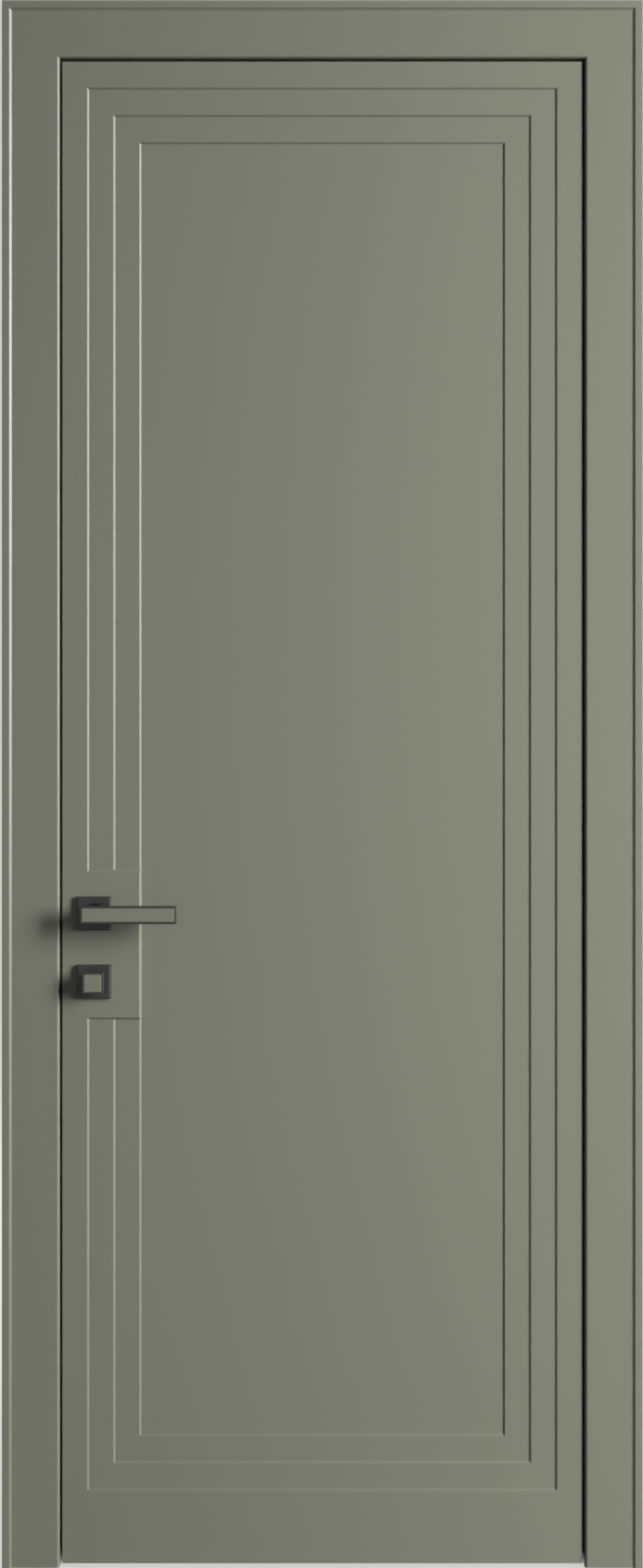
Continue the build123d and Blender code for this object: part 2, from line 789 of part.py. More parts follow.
with BuildPart() as deadbolt_cam:
    with BuildSketch(Plane.XZ):
        with Locations((axis_x, turn_z)):
            Circle(cam_hub_radius)
    extrude(amount=case_thickness / 2, both=True)
    with BuildSketch(disc_plane):
        with Locations((axis_x, turn_z)):
            Circle(cam_radius)
    extrude(amount=layer_play - deadbolt_thickness / 2)
    with BuildSketch(disc_plane):
        with Locations((axis_x + pin_offset, turn_z + cam_pin_orbit * cos(half_turn))):
            Circle(cam_pin_radius)
    extrude(amount=deadbolt_tail_thickness + layer_play)
    with BuildSketch(Plane.XZ):
        with Locations((axis_x, turn_z)):
            Rectangle(turn_spindle_size + 2 * spindle_play, turn_spindle_size + 2 * spindle_play)
    extrude(amount=case_thickness / 2 + overrun, both=True, mode=Mode.SUBTRACT)
save(deadbolt_cam, "deadbolt_cam")

# Rosettes: a base on each face of the leaf at each axis, bolted through, and a cover over it.
# The lever's base has a bush that shows in its cover.
base_size = rosette_size - 2 * rosette_wall - 2 * base_play
bush_length = rosette_thickness + neck_clear - bush_clear
rosettes = {
    "lever_rosette_front": (front_face, axis_x, lever_z, journal_radius, bush_radius),
    "lever_rosette_back": (back_face, -axis_x, lever_z, journal_radius, bush_radius),
    "turn_rosette_front": (front_face, axis_x, turn_z, turn_journal_radius, turn_journal_radius),
    "release_rosette_back": (back_face, -axis_x, turn_z, turn_journal_radius, turn_journal_radius),
}

for name, (face, across, level, bore, shown) in rosettes.items():
    with BuildPart() as cover:
        with BuildSketch(face):
            with Locations((across, level)):
                Rectangle(rosette_size, rosette_size)
        extrude(amount=rosette_thickness)
        chamfer(cover.faces().sort_by(Axis(face.origin, face.z_dir))[-1].edges(), rosette_chamfer)
        with BuildSketch(face):
            with Locations((across, level)):
                Rectangle(rosette_size - 2 * rosette_wall, rosette_size - 2 * rosette_wall)
        extrude(amount=rosette_thickness - rosette_wall, mode=Mode.SUBTRACT)
        with BuildSketch(face):
            with Locations((across, level)):
                Circle(shown + cover_play)
        extrude(amount=rosette_thickness + overrun, mode=Mode.SUBTRACT)
    save(cover, name)

with BuildPart() as rosette_bases:
    for face, across, level, bore, shown in rosettes.values():
        with BuildSketch(face):
            with Locations((across, level)):
                Rectangle(base_size, base_size)
                with GridLocations(0, rosette_bolt_span, 1, 2):
                    Circle(rosette_bolt_radius + rosette_bolt_play, mode=Mode.SUBTRACT)
        extrude(amount=base_thickness)
        if shown > bore:
            with BuildSketch(face):
                with Locations((across, level)):
                    Circle(shown)
            extrude(amount=bush_length)
        with BuildSketch(face):
            with Locations((across, level)):
                Circle(bore + running_play)
        extrude(amount=bush_length, mode=Mode.SUBTRACT)
    with BuildSketch(back_face.offset(base_thickness)):
        with Locations(*[(-across, level) for across, level in rosette_bolt_places]):
            Circle(rosette_bolt_head_radius + rosette_bolt_play)
    extrude(amount=-rosette_bolt_head_height, mode=Mode.SUBTRACT)
save(rosette_bases, "rosette_bases")

with BuildPart() as rosette_bolts:
    with BuildSketch(back_face.offset(base_thickness)):
        with Locations(*[(-across, level) for across, level in rosette_bolt_places]):
            Circle(rosette_bolt_radius)
    extrude(amount=-leaf_thickness - 2 * base_thickness)
    with BuildSketch(back_face.offset(base_thickness)):
        with Locations(*[(-across, level) for across, level in rosette_bolt_places]):
            Circle(rosette_bolt_head_radius)
    extrude(amount=-rosette_bolt_head_height)
save(rosette_bolts, "rosette_bolts")

# Levers: a flat bar on a neck, with a journal in the rosette and a plate let into its face
bar_length = lever_heel + lever_tip
bar_place = (axis_x + (lever_tip - lever_heel) / 2, lever_z)
bar_face = front_face.offset(lever_reach)
bar_back = front_face.offset(lever_reach - lever_bar_thickness)
neck_length = lever_reach - lever_bar_thickness - rosette_thickness - neck_clear
grub_y = -half_thickness - rosette_thickness - neck_clear - neck_length / 2
inlay_depth = inlay_thickness - inlay_proud
lever_inlay_size = (bar_length - 2 * inlay_border, lever_bar_height - 2 * inlay_border)
turn_inlay_size = (turn_size - 2 * inlay_border, turn_size - 2 * inlay_border)
outward = Axis(front_face.origin, front_face.z_dir)

with BuildPart() as lever_front:
    with BuildSketch(bar_face):
        with Locations(bar_place):
            RectangleRounded(bar_length, lever_bar_height, lever_corner)
    extrude(amount=-lever_bar_thickness)
    bar_faces = lever_front.faces().filter_by(Axis.Y).sort_by(outward)
    chamfer(bar_faces[0].edges() + bar_faces[-1].edges(), lever_edge)
    with BuildSketch(bar_back):
        with Locations((axis_x, lever_z)):
            RectangleRounded(neck_width, neck_height, neck_corner)
    extrude(amount=-neck_length)
    with BuildSketch(bar_back):
        with Locations((axis_x, lever_z)):
            Circle(journal_radius)
    extrude(amount=lever_bar_thickness - lever_reach)
    with BuildSketch(front_face):
        with Locations((axis_x, lever_z)):
            Rectangle(spindle_size + 2 * spindle_play, spindle_size + 2 * spindle_play)
    extrude(amount=spindle_engagement + spindle_play, mode=Mode.SUBTRACT)
    with BuildSketch(bar_face):
        with Locations(bar_place):
            Rectangle(*lever_inlay_size)
    extrude(amount=-inlay_depth, mode=Mode.SUBTRACT)
    with Locations(Plane(origin=(axis_x, grub_y, lever_z - neck_height / 2), z_dir=(0, 0, -1))):
        Hole(grub_radius, depth=neck_height / 2 - spindle_size / 2)
save(lever_front, "lever_front")

with BuildPart() as lever_back:
    mirror(lever_front.part, about=Plane.XZ)
save(lever_back, "lever_back")

with BuildPart() as lever_inlay_front:
    with BuildSketch(bar_face.offset(inlay_proud)):
        with Locations(bar_place):
            Rectangle(lever_inlay_size[0] - 2 * inlay_play, lever_inlay_size[1] - 2 * inlay_play)
    extrude(amount=-inlay_thickness)
    chamfer(lever_inlay_front.faces().sort_by(outward)[-1].edges(), inlay_edge)
save(lever_inlay_front, "lever_inlay_front")

with BuildPart() as lever_inlay_back:
    mirror(lever_inlay_front.part, about=Plane.XZ)
save(lever_inlay_back, "lever_inlay_back")

with BuildPart() as lever_spindle:
    with BuildSketch(Plane.XZ):
        with Locations((axis_x, lever_z)):
            Rectangle(spindle_size, spindle_size)
    extrude(amount=half_thickness + spindle_engagement, both=True)
save(lever_spindle, "lever_spindle")

with BuildPart() as lever_grub_screws:
    with BuildSketch(Plane.XY.offset(lever_z - spindle_size / 2)):
        with Locations((axis_x, grub_y), (axis_x, -grub_y)):
            Circle(grub_radius)
    extrude(amount=-grub_length)
save(lever_grub_screws, "lever_grub_screws")

# Turn with its spindle, and the coin release at the spindle's far end
turn_face = front_face.offset(turn_reach)

with BuildPart() as turn_knob:
    with BuildSketch(turn_face):
        with Locations((axis_x, turn_z)):
            RectangleRounded(turn_size, turn_size, turn_corner)
    extrude(amount=-turn_thickness)
    knob_faces = turn_knob.faces().filter_by(Axis.Y).sort_by(outward)
    chamfer(knob_faces[0].edges() + knob_faces[-1].edges(), lever_edge)
    with BuildSketch(front_face):
        with Locations((axis_x, turn_z)):
            Circle(turn_journal_radius)
    extrude(amount=turn_reach - turn_thickness)
    with BuildSketch(front_face):
        with Locations((axis_x, turn_z)):
            Rectangle(turn_spindle_size, turn_spindle_size)
    extrude(amount=-leaf_thickness - release_socket)
    with BuildSketch(turn_face):
        with Locations((axis_x, turn_z)):
            Rectangle(*turn_inlay_size)
    extrude(amount=-inlay_depth, mode=Mode.SUBTRACT)
save(turn_knob, "turn_knob")

with BuildPart() as turn_inlay:
    with BuildSketch(turn_face.offset(inlay_proud)):
        with Locations((axis_x, turn_z)):
            Rectangle(turn_inlay_size[0] - 2 * inlay_play, turn_inlay_size[1] - 2 * inlay_play)
    extrude(amount=-inlay_thickness)
    chamfer(turn_inlay.faces().sort_by(outward)[-1].edges(), inlay_edge)
save(turn_inlay, "turn_inlay")

with BuildPart() as release_button:
    with BuildSketch(back_face):
        with Locations((-axis_x, turn_z)):
            Circle(turn_journal_radius)
    extrude(amount=rosette_thickness + neck_clear)
    with BuildSketch(back_face.offset(rosette_thickness + neck_clear)):
        with Locations((-axis_x, turn_z)):
            Circle(release_radius)
    extrude(amount=release_height)
    chamfer(release_button.faces().sort_by(Axis.Y)[-1].edges(), release_edge)
    with BuildSketch(back_face.offset(rosette_thickness + neck_clear + release_height)):
        with Locations((-axis_x, turn_z)):
            SlotOverall(release_slot_length, release_slot_width, rotation=release_slot_angle)
    extrude(amount=-release_slot_depth, mode=Mode.SUBTRACT)
    with BuildSketch(back_face):
        with Locations((-axis_x, turn_z)):
            Rectangle(turn_spindle_size + 2 * spindle_play, turn_spindle_size + 2 * spindle_play)
    extrude(amount=release_socket + spindle_play, mode=Mode.SUBTRACT)
save(release_button, "release_button")

# Concealed hinges. In plan, each arm turns on a pivot in its own cup, meets the other arm at the knee and
# ends in a tail whose guide pin runs in a curved track of the other cup. Pivots, knee and hinge line form a
# rhombus, so the frame's arm turns with the leaf and the leaf's arm turns back by as much.
cavity_half = arm_height + 3 * arm_play / 2
pivot = Vector(hinge_x + pivot_inset, hinge_y + pivot_depth)
knee = Vector(hinge_x, hinge_y + 2 * pivot_depth)
tail = Vector(hinge_x - tail_reach, hinge_y + 2 * pivot_depth + tail_rise)
track_centre = pivot + Vector(tail_reach, tail_rise)
track_radius = hypot(pivot_inset, pivot_depth)
track_start = degrees(atan2(pivot_depth, -pivot_inset))


def crossed_arm(level, has_knee_pin):
    """Return the frame's arm of the hinge at this level, with a pin or a hole at the knee."""
    foot = Plane.XY.offset(level + arm_play / 2)
    with BuildPart() as arm:
        with BuildSketch(foot):
            with Locations(pivot):
                Circle(arm_pivot_radius)
            with Locations(knee):
                Circle(arm_knee_radius)
            make_hull()
        extrude(amount=arm_height)
        with BuildSketch(foot):
            with Locations(knee):
                Circle(arm_knee_radius)
            with Locations(tail):
                Circle(arm_tail_radius)
            make_hull()
        extrude(amount=arm_height)
        with BuildSketch(foot):
            with Locations(pivot):
                Circle(pivot_pin_radius + pivot_play)
        extrude(amount=arm_height, mode=Mode.SUBTRACT)
        with BuildSketch(foot.offset(arm_height)):
            with Locations(tail):
                Circle(guide_pin_radius)
        extrude(amount=guide_depth + arm_play)
        if has_knee_pin:
            with BuildSketch(foot):
                with Locations(knee):
                    Circle(knee_pin_radius)
            extrude(amount=-arm_play - arm_height)
        else:
            with BuildSketch(foot):
                with Locations(knee):
                    Circle(knee_pin_radius + knee_play)
            extrude(amount=arm_height, mode=Mode.SUBTRACT)
    return arm.part


for name, level in hinge_levels.items():
    half_way_round = Axis((hinge_x, 0, level), (0, 1, 0))
    mouth = Plane(origin=(rebate_x, cup_middle_y, level), x_dir=(0, 1, 0), z_dir=(1, 0, 0))

    with BuildPart() as frame_cup:
        with BuildSketch(mouth):
            RectangleRounded(cup_width, cup_height, cup_corner)
        extrude(amount=cup_depth)
        with BuildSketch(mouth):
            Rectangle(cup_width - 2 * cup_wall, 2 * cavity_half)
        extrude(amount=cup_depth - cup_wall, mode=Mode.SUBTRACT)
        with BuildSketch(Plane.XY.offset(level)):
            with Locations(pivot):
                Circle(pivot_pin_radius)
        extrude(amount=cavity_half, both=True)
        with BuildSketch(Plane.XY.offset(level - cavity_half)):
            SlotArc(
                CenterArc(track_centre, track_radius, track_start, hinge_swing, mode=Mode.PRIVATE),
                2 * (guide_pin_radius + guide_play),
            )
        extrude(amount=-guide_depth - arm_play, mode=Mode.SUBTRACT)
        for side in (-1, 1):
            place = (rebate_x, cup_middle_y, level + side * cup_screw_offset)
            with Locations(Plane(origin=place, z_dir=(-1, 0, 0))):
                CounterSinkHole(
                    screw_radius + screw_play,
                    screw_head_radius + screw_play,
                    counter_sink_angle=screw_angle,
                )
    save(frame_cup, f"{name}_hinge_frame_cup")

    with BuildPart() as leaf_cup:
        add(frame_cup.part.rotate(half_way_round, 180))
    save(leaf_cup, f"{name}_hinge_leaf_cup")

    with BuildPart() as frame_arm:
        add(crossed_arm(level, True))
    save(frame_arm, f"{name}_hinge_frame_arm")

    with BuildPart() as leaf_arm:
        add(crossed_arm(level, False).rotate(half_way_round, 180))
    save(leaf_arm, f"{name}_hinge_leaf_arm")

with BuildPart() as hinge_frame_screws:
    places = [(rebate_x, cup_middle_y, level) for level in cup_screw_levels]
    add(countersunk_screws(places, (-1, 0, 0), screw_length))
save(hinge_frame_screws, "hinge_frame_screws")

with BuildPart() as hinge_leaf_screws:
    places = [(half_leaf, cup_middle_y, level) for level in cup_screw_levels]
    add(countersunk_screws(places, (1, 0, 0), screw_length))
save(hinge_leaf_screws, "hinge_leaf_screws")
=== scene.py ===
import logging
import math
from contextlib import contextmanager
from dataclasses import dataclass, field
from enum import Enum
from typing import Any, Callable, Iterator, Optional, Sequence, Union

import bmesh
import bpy
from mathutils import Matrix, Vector


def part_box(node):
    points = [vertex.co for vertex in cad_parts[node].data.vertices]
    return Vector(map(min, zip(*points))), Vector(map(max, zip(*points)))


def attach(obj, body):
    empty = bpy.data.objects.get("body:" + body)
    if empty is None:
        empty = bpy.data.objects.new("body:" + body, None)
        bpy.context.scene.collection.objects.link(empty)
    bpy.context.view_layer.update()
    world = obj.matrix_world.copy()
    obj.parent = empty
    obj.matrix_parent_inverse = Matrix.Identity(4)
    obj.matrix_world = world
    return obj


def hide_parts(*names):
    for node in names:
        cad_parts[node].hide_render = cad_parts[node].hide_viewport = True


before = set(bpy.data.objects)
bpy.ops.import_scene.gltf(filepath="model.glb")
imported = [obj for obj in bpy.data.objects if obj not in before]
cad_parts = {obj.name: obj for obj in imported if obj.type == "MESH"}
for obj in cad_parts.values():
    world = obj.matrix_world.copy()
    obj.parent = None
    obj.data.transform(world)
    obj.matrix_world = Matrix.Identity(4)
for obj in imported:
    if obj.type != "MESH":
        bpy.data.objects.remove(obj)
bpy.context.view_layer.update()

log = logging.getLogger("interior_door")
Point = tuple[float, float, float]
Place = Union[Vector, Point]
Colour = tuple[float, float, float]
Edge = bmesh.types.BMEdge
FaceTest = Callable[[Vector, Vector], bool]
EdgeTest = Callable[[Edge], bool]
MM = 0.001
SAME = 2e-5  # metres within which two places count as one
FACING = 0.9  # cosine past which a face counts as facing along an axis
LENGTHWISE = 0.999  # cosine past which an edge counts as running along an axis


class Leg(Enum):
    """The three straight runs of the frame."""

    LOCK = "lock_side"
    HINGE = "hinge_side"
    HEAD = "head"


class Level(Enum):
    """The places of the three hinges."""

    BOTTOM = "bottom"
    MIDDLE = "middle"
    TOP = "top"


class Shade:
    """A socket of a node tree. Sums of shades and numbers add Math nodes."""

    def __init__(self, kit: "NodeKit", socket: bpy.types.NodeSocket) -> None:
        self.kit = kit
        self.socket = socket

    def _math(self, operation: str, first: Any, second: Any) -> "Shade":
        """Return the value of a Math node on two shades or numbers."""
        return self.kit.node("ShaderNodeMath", {"operation": operation}, {0: first, 1: second})

    def __add__(self, other: Any) -> "Shade":
        """Return self + other."""
        return self._math("ADD", self, other)

    def __radd__(self, other: Any) -> "Shade":
        """Return other + self."""
        return self._math("ADD", other, self)

    def __sub__(self, other: Any) -> "Shade":
        """Return self - other."""
        return self._math("SUBTRACT", self, other)

    def __rsub__(self, other: Any) -> "Shade":
        """Return other - self."""
        return self._math("SUBTRACT", other, self)

    def __mul__(self, other: Any) -> "Shade":
        """Return self * other."""
        return self._math("MULTIPLY", self, other)

    def __rmul__(self, other: Any) -> "Shade":
        """Return other * self."""
        return self._math("MULTIPLY", other, self)

    def at_most(self, other: Any) -> "Shade":
        """Return the lesser of self and other."""
        return self._math("MINIMUM", self, other)

    def at_least(self, other: Any) -> "Shade":
        """Return the greater of self and other."""
        return self._math("MAXIMUM", self, other)


Value = Union[Shade, float, Sequence[float]]


def tinted(colour: Colour, factor: float) -> Colour:
    """Return a colour made lighter or darker by a factor."""
    return (colour[0] * factor, colour[1] * factor, colour[2] * factor)


class NodeKit:
    """Adds nodes to the tree of one material or world."""

    def __init__(self, owner: Union[bpy.types.Material, bpy.types.World]) -> None:
        """Take over the tree of a material or a world."""
        owner.use_nodes = True
        self.tree = owner.node_tree

    def node(self, kind: str, settings: dict, sockets: dict, output: Union[int, str] = 0) -> Shade:
        """Add a node.

        Args:
            kind: The node's type.
            settings: Attributes set first; "stops" is a list of (place, colour) for a ramp.
            sockets: Values or shades by input name or index.
            output: The output to return.

        Returns:
            The chosen output.
        """
        made = self.tree.nodes.new(kind)
        for key, value in settings.items():
            if key == "stops":
                self._set_stops(made.color_ramp, value)
            else:
                setattr(made, key, value)
        for key, value in sockets.items():
            self.feed(made.inputs[key], value)
        return Shade(self, made.outputs[output])

    @staticmethod
    def _set_stops(ramp: bpy.types.ColorRamp, stops: Sequence[tuple[float, Colour]]) -> None:
        """Give a ramp its stops.

        Args:
            ramp: The ramp of a Color Ramp node.
            stops: Places from 0 to 1 with their colours.
        """
        while len(ramp.elements) < len(stops):
            ramp.elements.new(1.0)
        for element, (place, colour) in zip(ramp.elements, stops):
            element.position = place
            element.color = (*colour, 1.0)

    def feed(self, socket: bpy.types.NodeSocket, value: Value) -> None:
        """Link a shade to a socket, or set the socket's own value.

        Args:
            socket: The input socket.
            value: The shade, number or tuple that it gets.
        """
        if isinstance(value, Shade):
            self.tree.links.new(value.socket, socket)
        else:
            socket.default_value = value

    def between(self, factor: Value, low: Colour, high: Colour) -> Shade:
        """Return a colour between two, by a factor."""
        sockets = {0: factor, 6: (*low, 1.0), 7: (*high, 1.0)}
        return self.node("ShaderNodeMix", {"data_type": "RGBA"}, sockets, 2)

    def toned(self, factor: Value, colour: Colour, low: float, high: float) -> Shade:
        """Return a colour that goes from one share of itself to another, by a factor."""
        return self.between(factor, tinted(colour, low), tinted(colour, high))

    def shown(self) -> Shade:
        """Return 1 for rays from the camera, from mirrors and through glass, and 0 for the rest."""
        names = ("Is Camera Ray", "Is Glossy Ray", "Is Transmission Ray")
        camera, mirror, glass = (self.node("ShaderNodeLightPath", {}, {}, name) for name in names)
        return camera.at_least(mirror).at_least(glass)


class PaintKit(NodeKit):
    """Builds one material's node tree on Object coordinates."""

    def __init__(self, name: str) -> None:
        """Start a material of that name with a principled shader."""
        self.material = bpy.data.materials.new(name)
        super().__init__(self.material)
        self.place = self.node("ShaderNodeTexCoord", {}, {}, "Object")

    def stretched(self, scale: Point) -> Shade:
        """Return Object coordinates times a scale along each axis."""
        return self.node("ShaderNodeMapping", {}, {"Vector": self.place, "Scale": scale})

    def noise(self, scale: float, detail: float = 2.0, vector: Optional[Shade] = None) -> Shade:
        """Return noise from 0 to 1, at so many features a metre, on Object or other coordinates."""
        sockets = {"Vector": vector or self.place, "Scale": scale, "Detail": detail}
        return self.node("ShaderNodeTexNoise", {}, sockets, "Fac")

    def bump(self, height: Shade, distance: float, strength: float) -> Shade:
        """Return a normal tilted by a height."""
        sockets = {"Height": height, "Distance": distance, "Strength": strength}
        return self.node("ShaderNodeBump", {}, sockets)

    def principled(self, **sockets: Value) -> bpy.types.Material:
        """Feed the principled shader.

        Args:
            sockets: Values or shades by input name, with underscores for spaces.

        Returns:
            The finished material.
        """
        shader = self.tree.nodes["Principled BSDF"]
        for key, value in sockets.items():
            self.feed(shader.inputs[key.replace("_", " ")], value)
        return self.material


@dataclass(frozen=True)
class SatinPaint:
    """Sprayed satin paint on fibreboard, with the fine orange peel that spraying leaves."""

    name: str
    colour: Colour
    roughness: float = 0.42
    mottle: float = 0.012
    mottle_scale: float = 3.0
    drift_scale: float = 45.0
    peel_scale: float = 520.0
    peel_depth: float = 0.04 * MM

    def build(self) -> bpy.types.Material:
        """Mix the paint.

        Returns:
            Its material.
        """
        kit = PaintKit(self.name)
        broad = kit.noise(self.mottle_scale, 3.0)
        peel = kit.noise(self.peel_scale, 3.0)
        drift = kit.noise(self.drift_scale)
        colour = kit.toned(broad, self.colour, 1 - self.mottle, 1 + self.mottle)
        rough = self.roughness - 0.04 + 0.05 * drift + 0.04 * peel
        normal = kit.bump(peel + 0.6 * drift, self.peel_depth, 0.35)
        return kit.principled(Base_Color=colour, Roughness=rough, Normal=normal)


@dataclass(frozen=True)
class PowderCoat:
    """Dark graphite powder coat with a fine metallic fleck."""

    name: str
    colour: Colour
    fleck: Colour
    fleck_range: tuple[float, float] = (0.58, 0.72)
    fleck_share: float = 0.55
    metallic: float = 0.35
    roughness: float = 0.42
    cloud_scale: float = 60.0
    grain_scale: float = 2600.0
    grain_depth: float = 0.03 * MM

    def build(self) -> bpy.types.Material:
        """Mix the coat.

        Returns:
            Its material.
        """
        kit = PaintKit(self.name)
        grain = kit.noise(self.grain_scale)
        cloud = kit.noise(self.cloud_scale)
        stops = list(zip(self.fleck_range, ((0.0, 0.0, 0.0), (1.0, 1.0, 1.0))))
        flecks = kit.node("ShaderNodeValToRGB", {"stops": stops}, {0: grain})
        colour = kit.between(flecks * self.fleck_share, self.colour, self.fleck)
        rough = self.roughness - 0.05 + 0.06 * cloud + 0.06 * grain
        normal = kit.bump(grain, self.grain_depth, 0.5)
        return kit.principled(Base_Color=colour, Roughness=rough, Normal=normal, Metallic=self.metallic)


@dataclass(frozen=True)
class BrushedMetal:
    """Metal with fine lines along one axis, left by the belt."""

    name: str
    colour: Colour
    lines: Point = (2400.0, 2400.0, 30.0)
    line_depth: float = 0.02 * MM
    roughness: float = 0.3
    haze_scale: float = 35.0

    def build(self) -> bpy.types.Material:
        """Brush the metal.

        Returns:
            Its material.
        """
        kit = PaintKit(self.name)
        streaks = kit.noise(1.0, 3.0, kit.stretched(self.lines))
        haze = kit.noise(self.haze_scale, 3.0)
        colour = kit.toned(streaks, self.colour, 0.86, 1.1)
        rough = self.roughness - 0.1 + 0.14 * streaks + 0.08 * haze
        normal = kit.bump(streaks, self.line_depth, 0.4)
        return kit.principled(Base_Color=colour, Roughness=rough, Normal=normal, Metallic=1.0)


@dataclass(frozen=True)
class CastMetal:
    """Plated die-cast metal with the faint orange skin of the casting."""

    name: str
    colour: Colour
    roughness: float = 0.36
    cloud_scale: float = 30.0
    skin_scale: float = 900.0
    skin_depth: float = 0.04 * MM

    def build(self) -> bpy.types.Material:
        """Plate the metal.

        Returns:
            Its material.
        """
        kit = PaintKit(self.name)
        skin = kit.noise(self.skin_scale, 4.0)
        cloud = kit.noise(self.cloud_scale, 3.0)
        colour = kit.toned(cloud, self.colour, 0.9, 1.06)
        rough = self.roughness - 0.06 + 0.1 * cloud + 0.05 * skin
        normal = kit.bump(skin, self.skin_depth, 0.4)
        return kit.principled(Base_Color=colour, Roughness=rough, Normal=normal, Metallic=1.0)


@dataclass(frozen=True)
class SoftRubber:
    """Extruded black rubber with a pale bloom."""

    name: str
    colour: Colour
    roughness: float = 0.62
    bloom_scale: float = 25.0
    grit_scale: float = 1800.0
    grit_depth: float = 0.03 * MM

    def build(self) -> bpy.types.Material:
        """Mix the rubber.

        Returns:
            Its material.
        """
        kit = PaintKit(self.name)
        bloom = kit.noise(self.bloom_scale, 4.0)
        grit = kit.noise(self.grit_scale)
        colour = kit.toned(bloom, self.colour, 1.0, 1.7)
        rough = self.roughness - 0.05 + 0.08 * bloom + 0.06 * grit
        normal = kit.bump(grit, self.grit_depth, 0.5)
        return kit.principled(Base_Color=colour, Roughness=rough, Normal=normal)


@dataclass(frozen=True)
class MouldedPlastic:
    """Moulded plastic with a spark-eroded texture."""

    name: str
    colour: Colour
    roughness: float = 0.55
    gloss: float = 0.5
    cloud_scale: float = 40.0
    erosion_scale: float = 1500.0
    erosion_depth: float = 0.05 * MM

    def build(self) -> bpy.types.Material:
        """Mould the plastic.

        Returns:
            Its material.
        """
        kit = PaintKit(self.name)
        erosion = kit.noise(self.erosion_scale, 3.0)
        cloud = kit.noise(self.cloud_scale)
        colour = kit.toned(cloud, self.colour, 0.85, 1.2)
        rough = self.roughness - 0.05 + 0.1 * erosion
        normal = kit.bump(erosion, self.erosion_depth, 0.6)
        return kit.principled(Base_Color=colour, Roughness=rough, Normal=normal, Specular_IOR_Level=self.gloss)


@dataclass(frozen=True)
class PressedChips:
    """Bare tubular chipboard: pale and dark chips pressed together."""

    name: str
    pale: Colour
    dark: Colour
    roughness: float = 0.85
    chip_scale: float = 260.0
    chip_depth: float = 0.2 * MM
    dust_scale: float = 900.0

    def build(self) -> bpy.types.Material:
        """Press the chips.

        Returns:
            Their material.
        """
        kit = PaintKit(self.name)
        chips = kit.node("ShaderNodeTexVoronoi", {}, {"Vector": kit.place, "Scale": self.chip_scale}, "Color")
        level = kit.node("ShaderNodeSeparateColor", {}, {0: chips}, 0)
        dust = kit.noise(self.dust_scale, 3.0)
        colour = kit.between((level * 0.8 + dust * 0.2).at_most(1.0), self.dark, self.pale)
        normal = kit.bump(level + dust, self.chip_depth, 0.6)
        return kit.principled(Base_Color=colour, Roughness=self.roughness - 0.1 * dust, Normal=normal)


class Finishes:
    """Every finish of the door, each built once."""

    DOOR_COLOUR: Colour = (0.216, 0.223, 0.174)

    def __init__(self) -> None:
        """Build the materials."""
        self.leaf = SatinPaint("leaf_satin_paint", self.DOOR_COLOUR).build()
        self.frame = SatinPaint("frame_satin_paint", self.DOOR_COLOUR, roughness=0.34).build()
        self.inlay = SatinPaint("inlay_satin_paint", self.DOOR_COLOUR, peel_scale=900.0).build()
        self.graphite = PowderCoat("graphite_powder_coat", (0.045, 0.045, 0.044), (0.11, 0.11, 0.108)).build()
        self.steel = BrushedMetal("brushed_steel", (0.56, 0.56, 0.545)).build()
        self.zinc = CastMetal("zinc_plated_screw", (0.6, 0.6, 0.58), roughness=0.32).build()
        self.hinge = CastMetal("satin_nickel_hinge", (0.5, 0.495, 0.475)).build()
        self.rubber = SoftRubber("seal_rubber", (0.016, 0.016, 0.016)).build()
        self.plastic = MouldedPlastic("black_moulded_plastic", (0.03, 0.03, 0.03)).build()
        # Painted shade: the rosette bases are coloured darker than real nylon so that the gap seen through each
        # rosette's opening, above the lever's neck, reads black.
        self.nylon_and_painted_shade = MouldedPlastic("black_nylon_with_painted_shade", (0.006, 0.006, 0.006), roughness=0.75, gloss=0.2).build()
        self.ferrite = MouldedPlastic("ferrite_magnet", (0.06, 0.06, 0.062), roughness=0.45).build()
        self.chips = PressedChips("tubular_chipboard", (0.5, 0.37, 0.22), (0.24, 0.15, 0.08)).build()


def about(value: float, target: float, slack: float = SAME) -> bool:
    """Say whether a length is at a target."""
    return abs(value - target) < slack


def on_axis(axis: int, length: float) -> Point:
    """Return a vector of a length along one axis."""
    return tuple(length if each == axis else 0.0 for each in range(3))


def runs_along(edge: Edge, axis: int) -> bool:
    """Say whether an edge runs along an axis."""
    run = edge.verts[1].co - edge.verts[0].co
    return abs(run[axis]) > LENGTHWISE * run.length


def level_at(edge: Edge, axis: int, places: Sequence[float]) -> bool:
    """Say whether an edge lies at one of some places on an axis."""
    return any(all(about(v.co[axis], place) for v in edge.verts) for place in places)


def middle_of(node: str) -> Vector:
    """Return the middle of a solid's box."""
    low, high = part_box(node)
    return (low + high) / 2


def paint_node(node: str, finish: bpy.types.Material) -> None:
    """Give a solid that is shown as it is its material.

    Args:
        node: The solid's name.
        finish: The material.
    """
    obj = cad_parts[node]
    obj.data.materials.clear()
    obj.data.materials.append(finish)
    log.info("%s dressed", node)


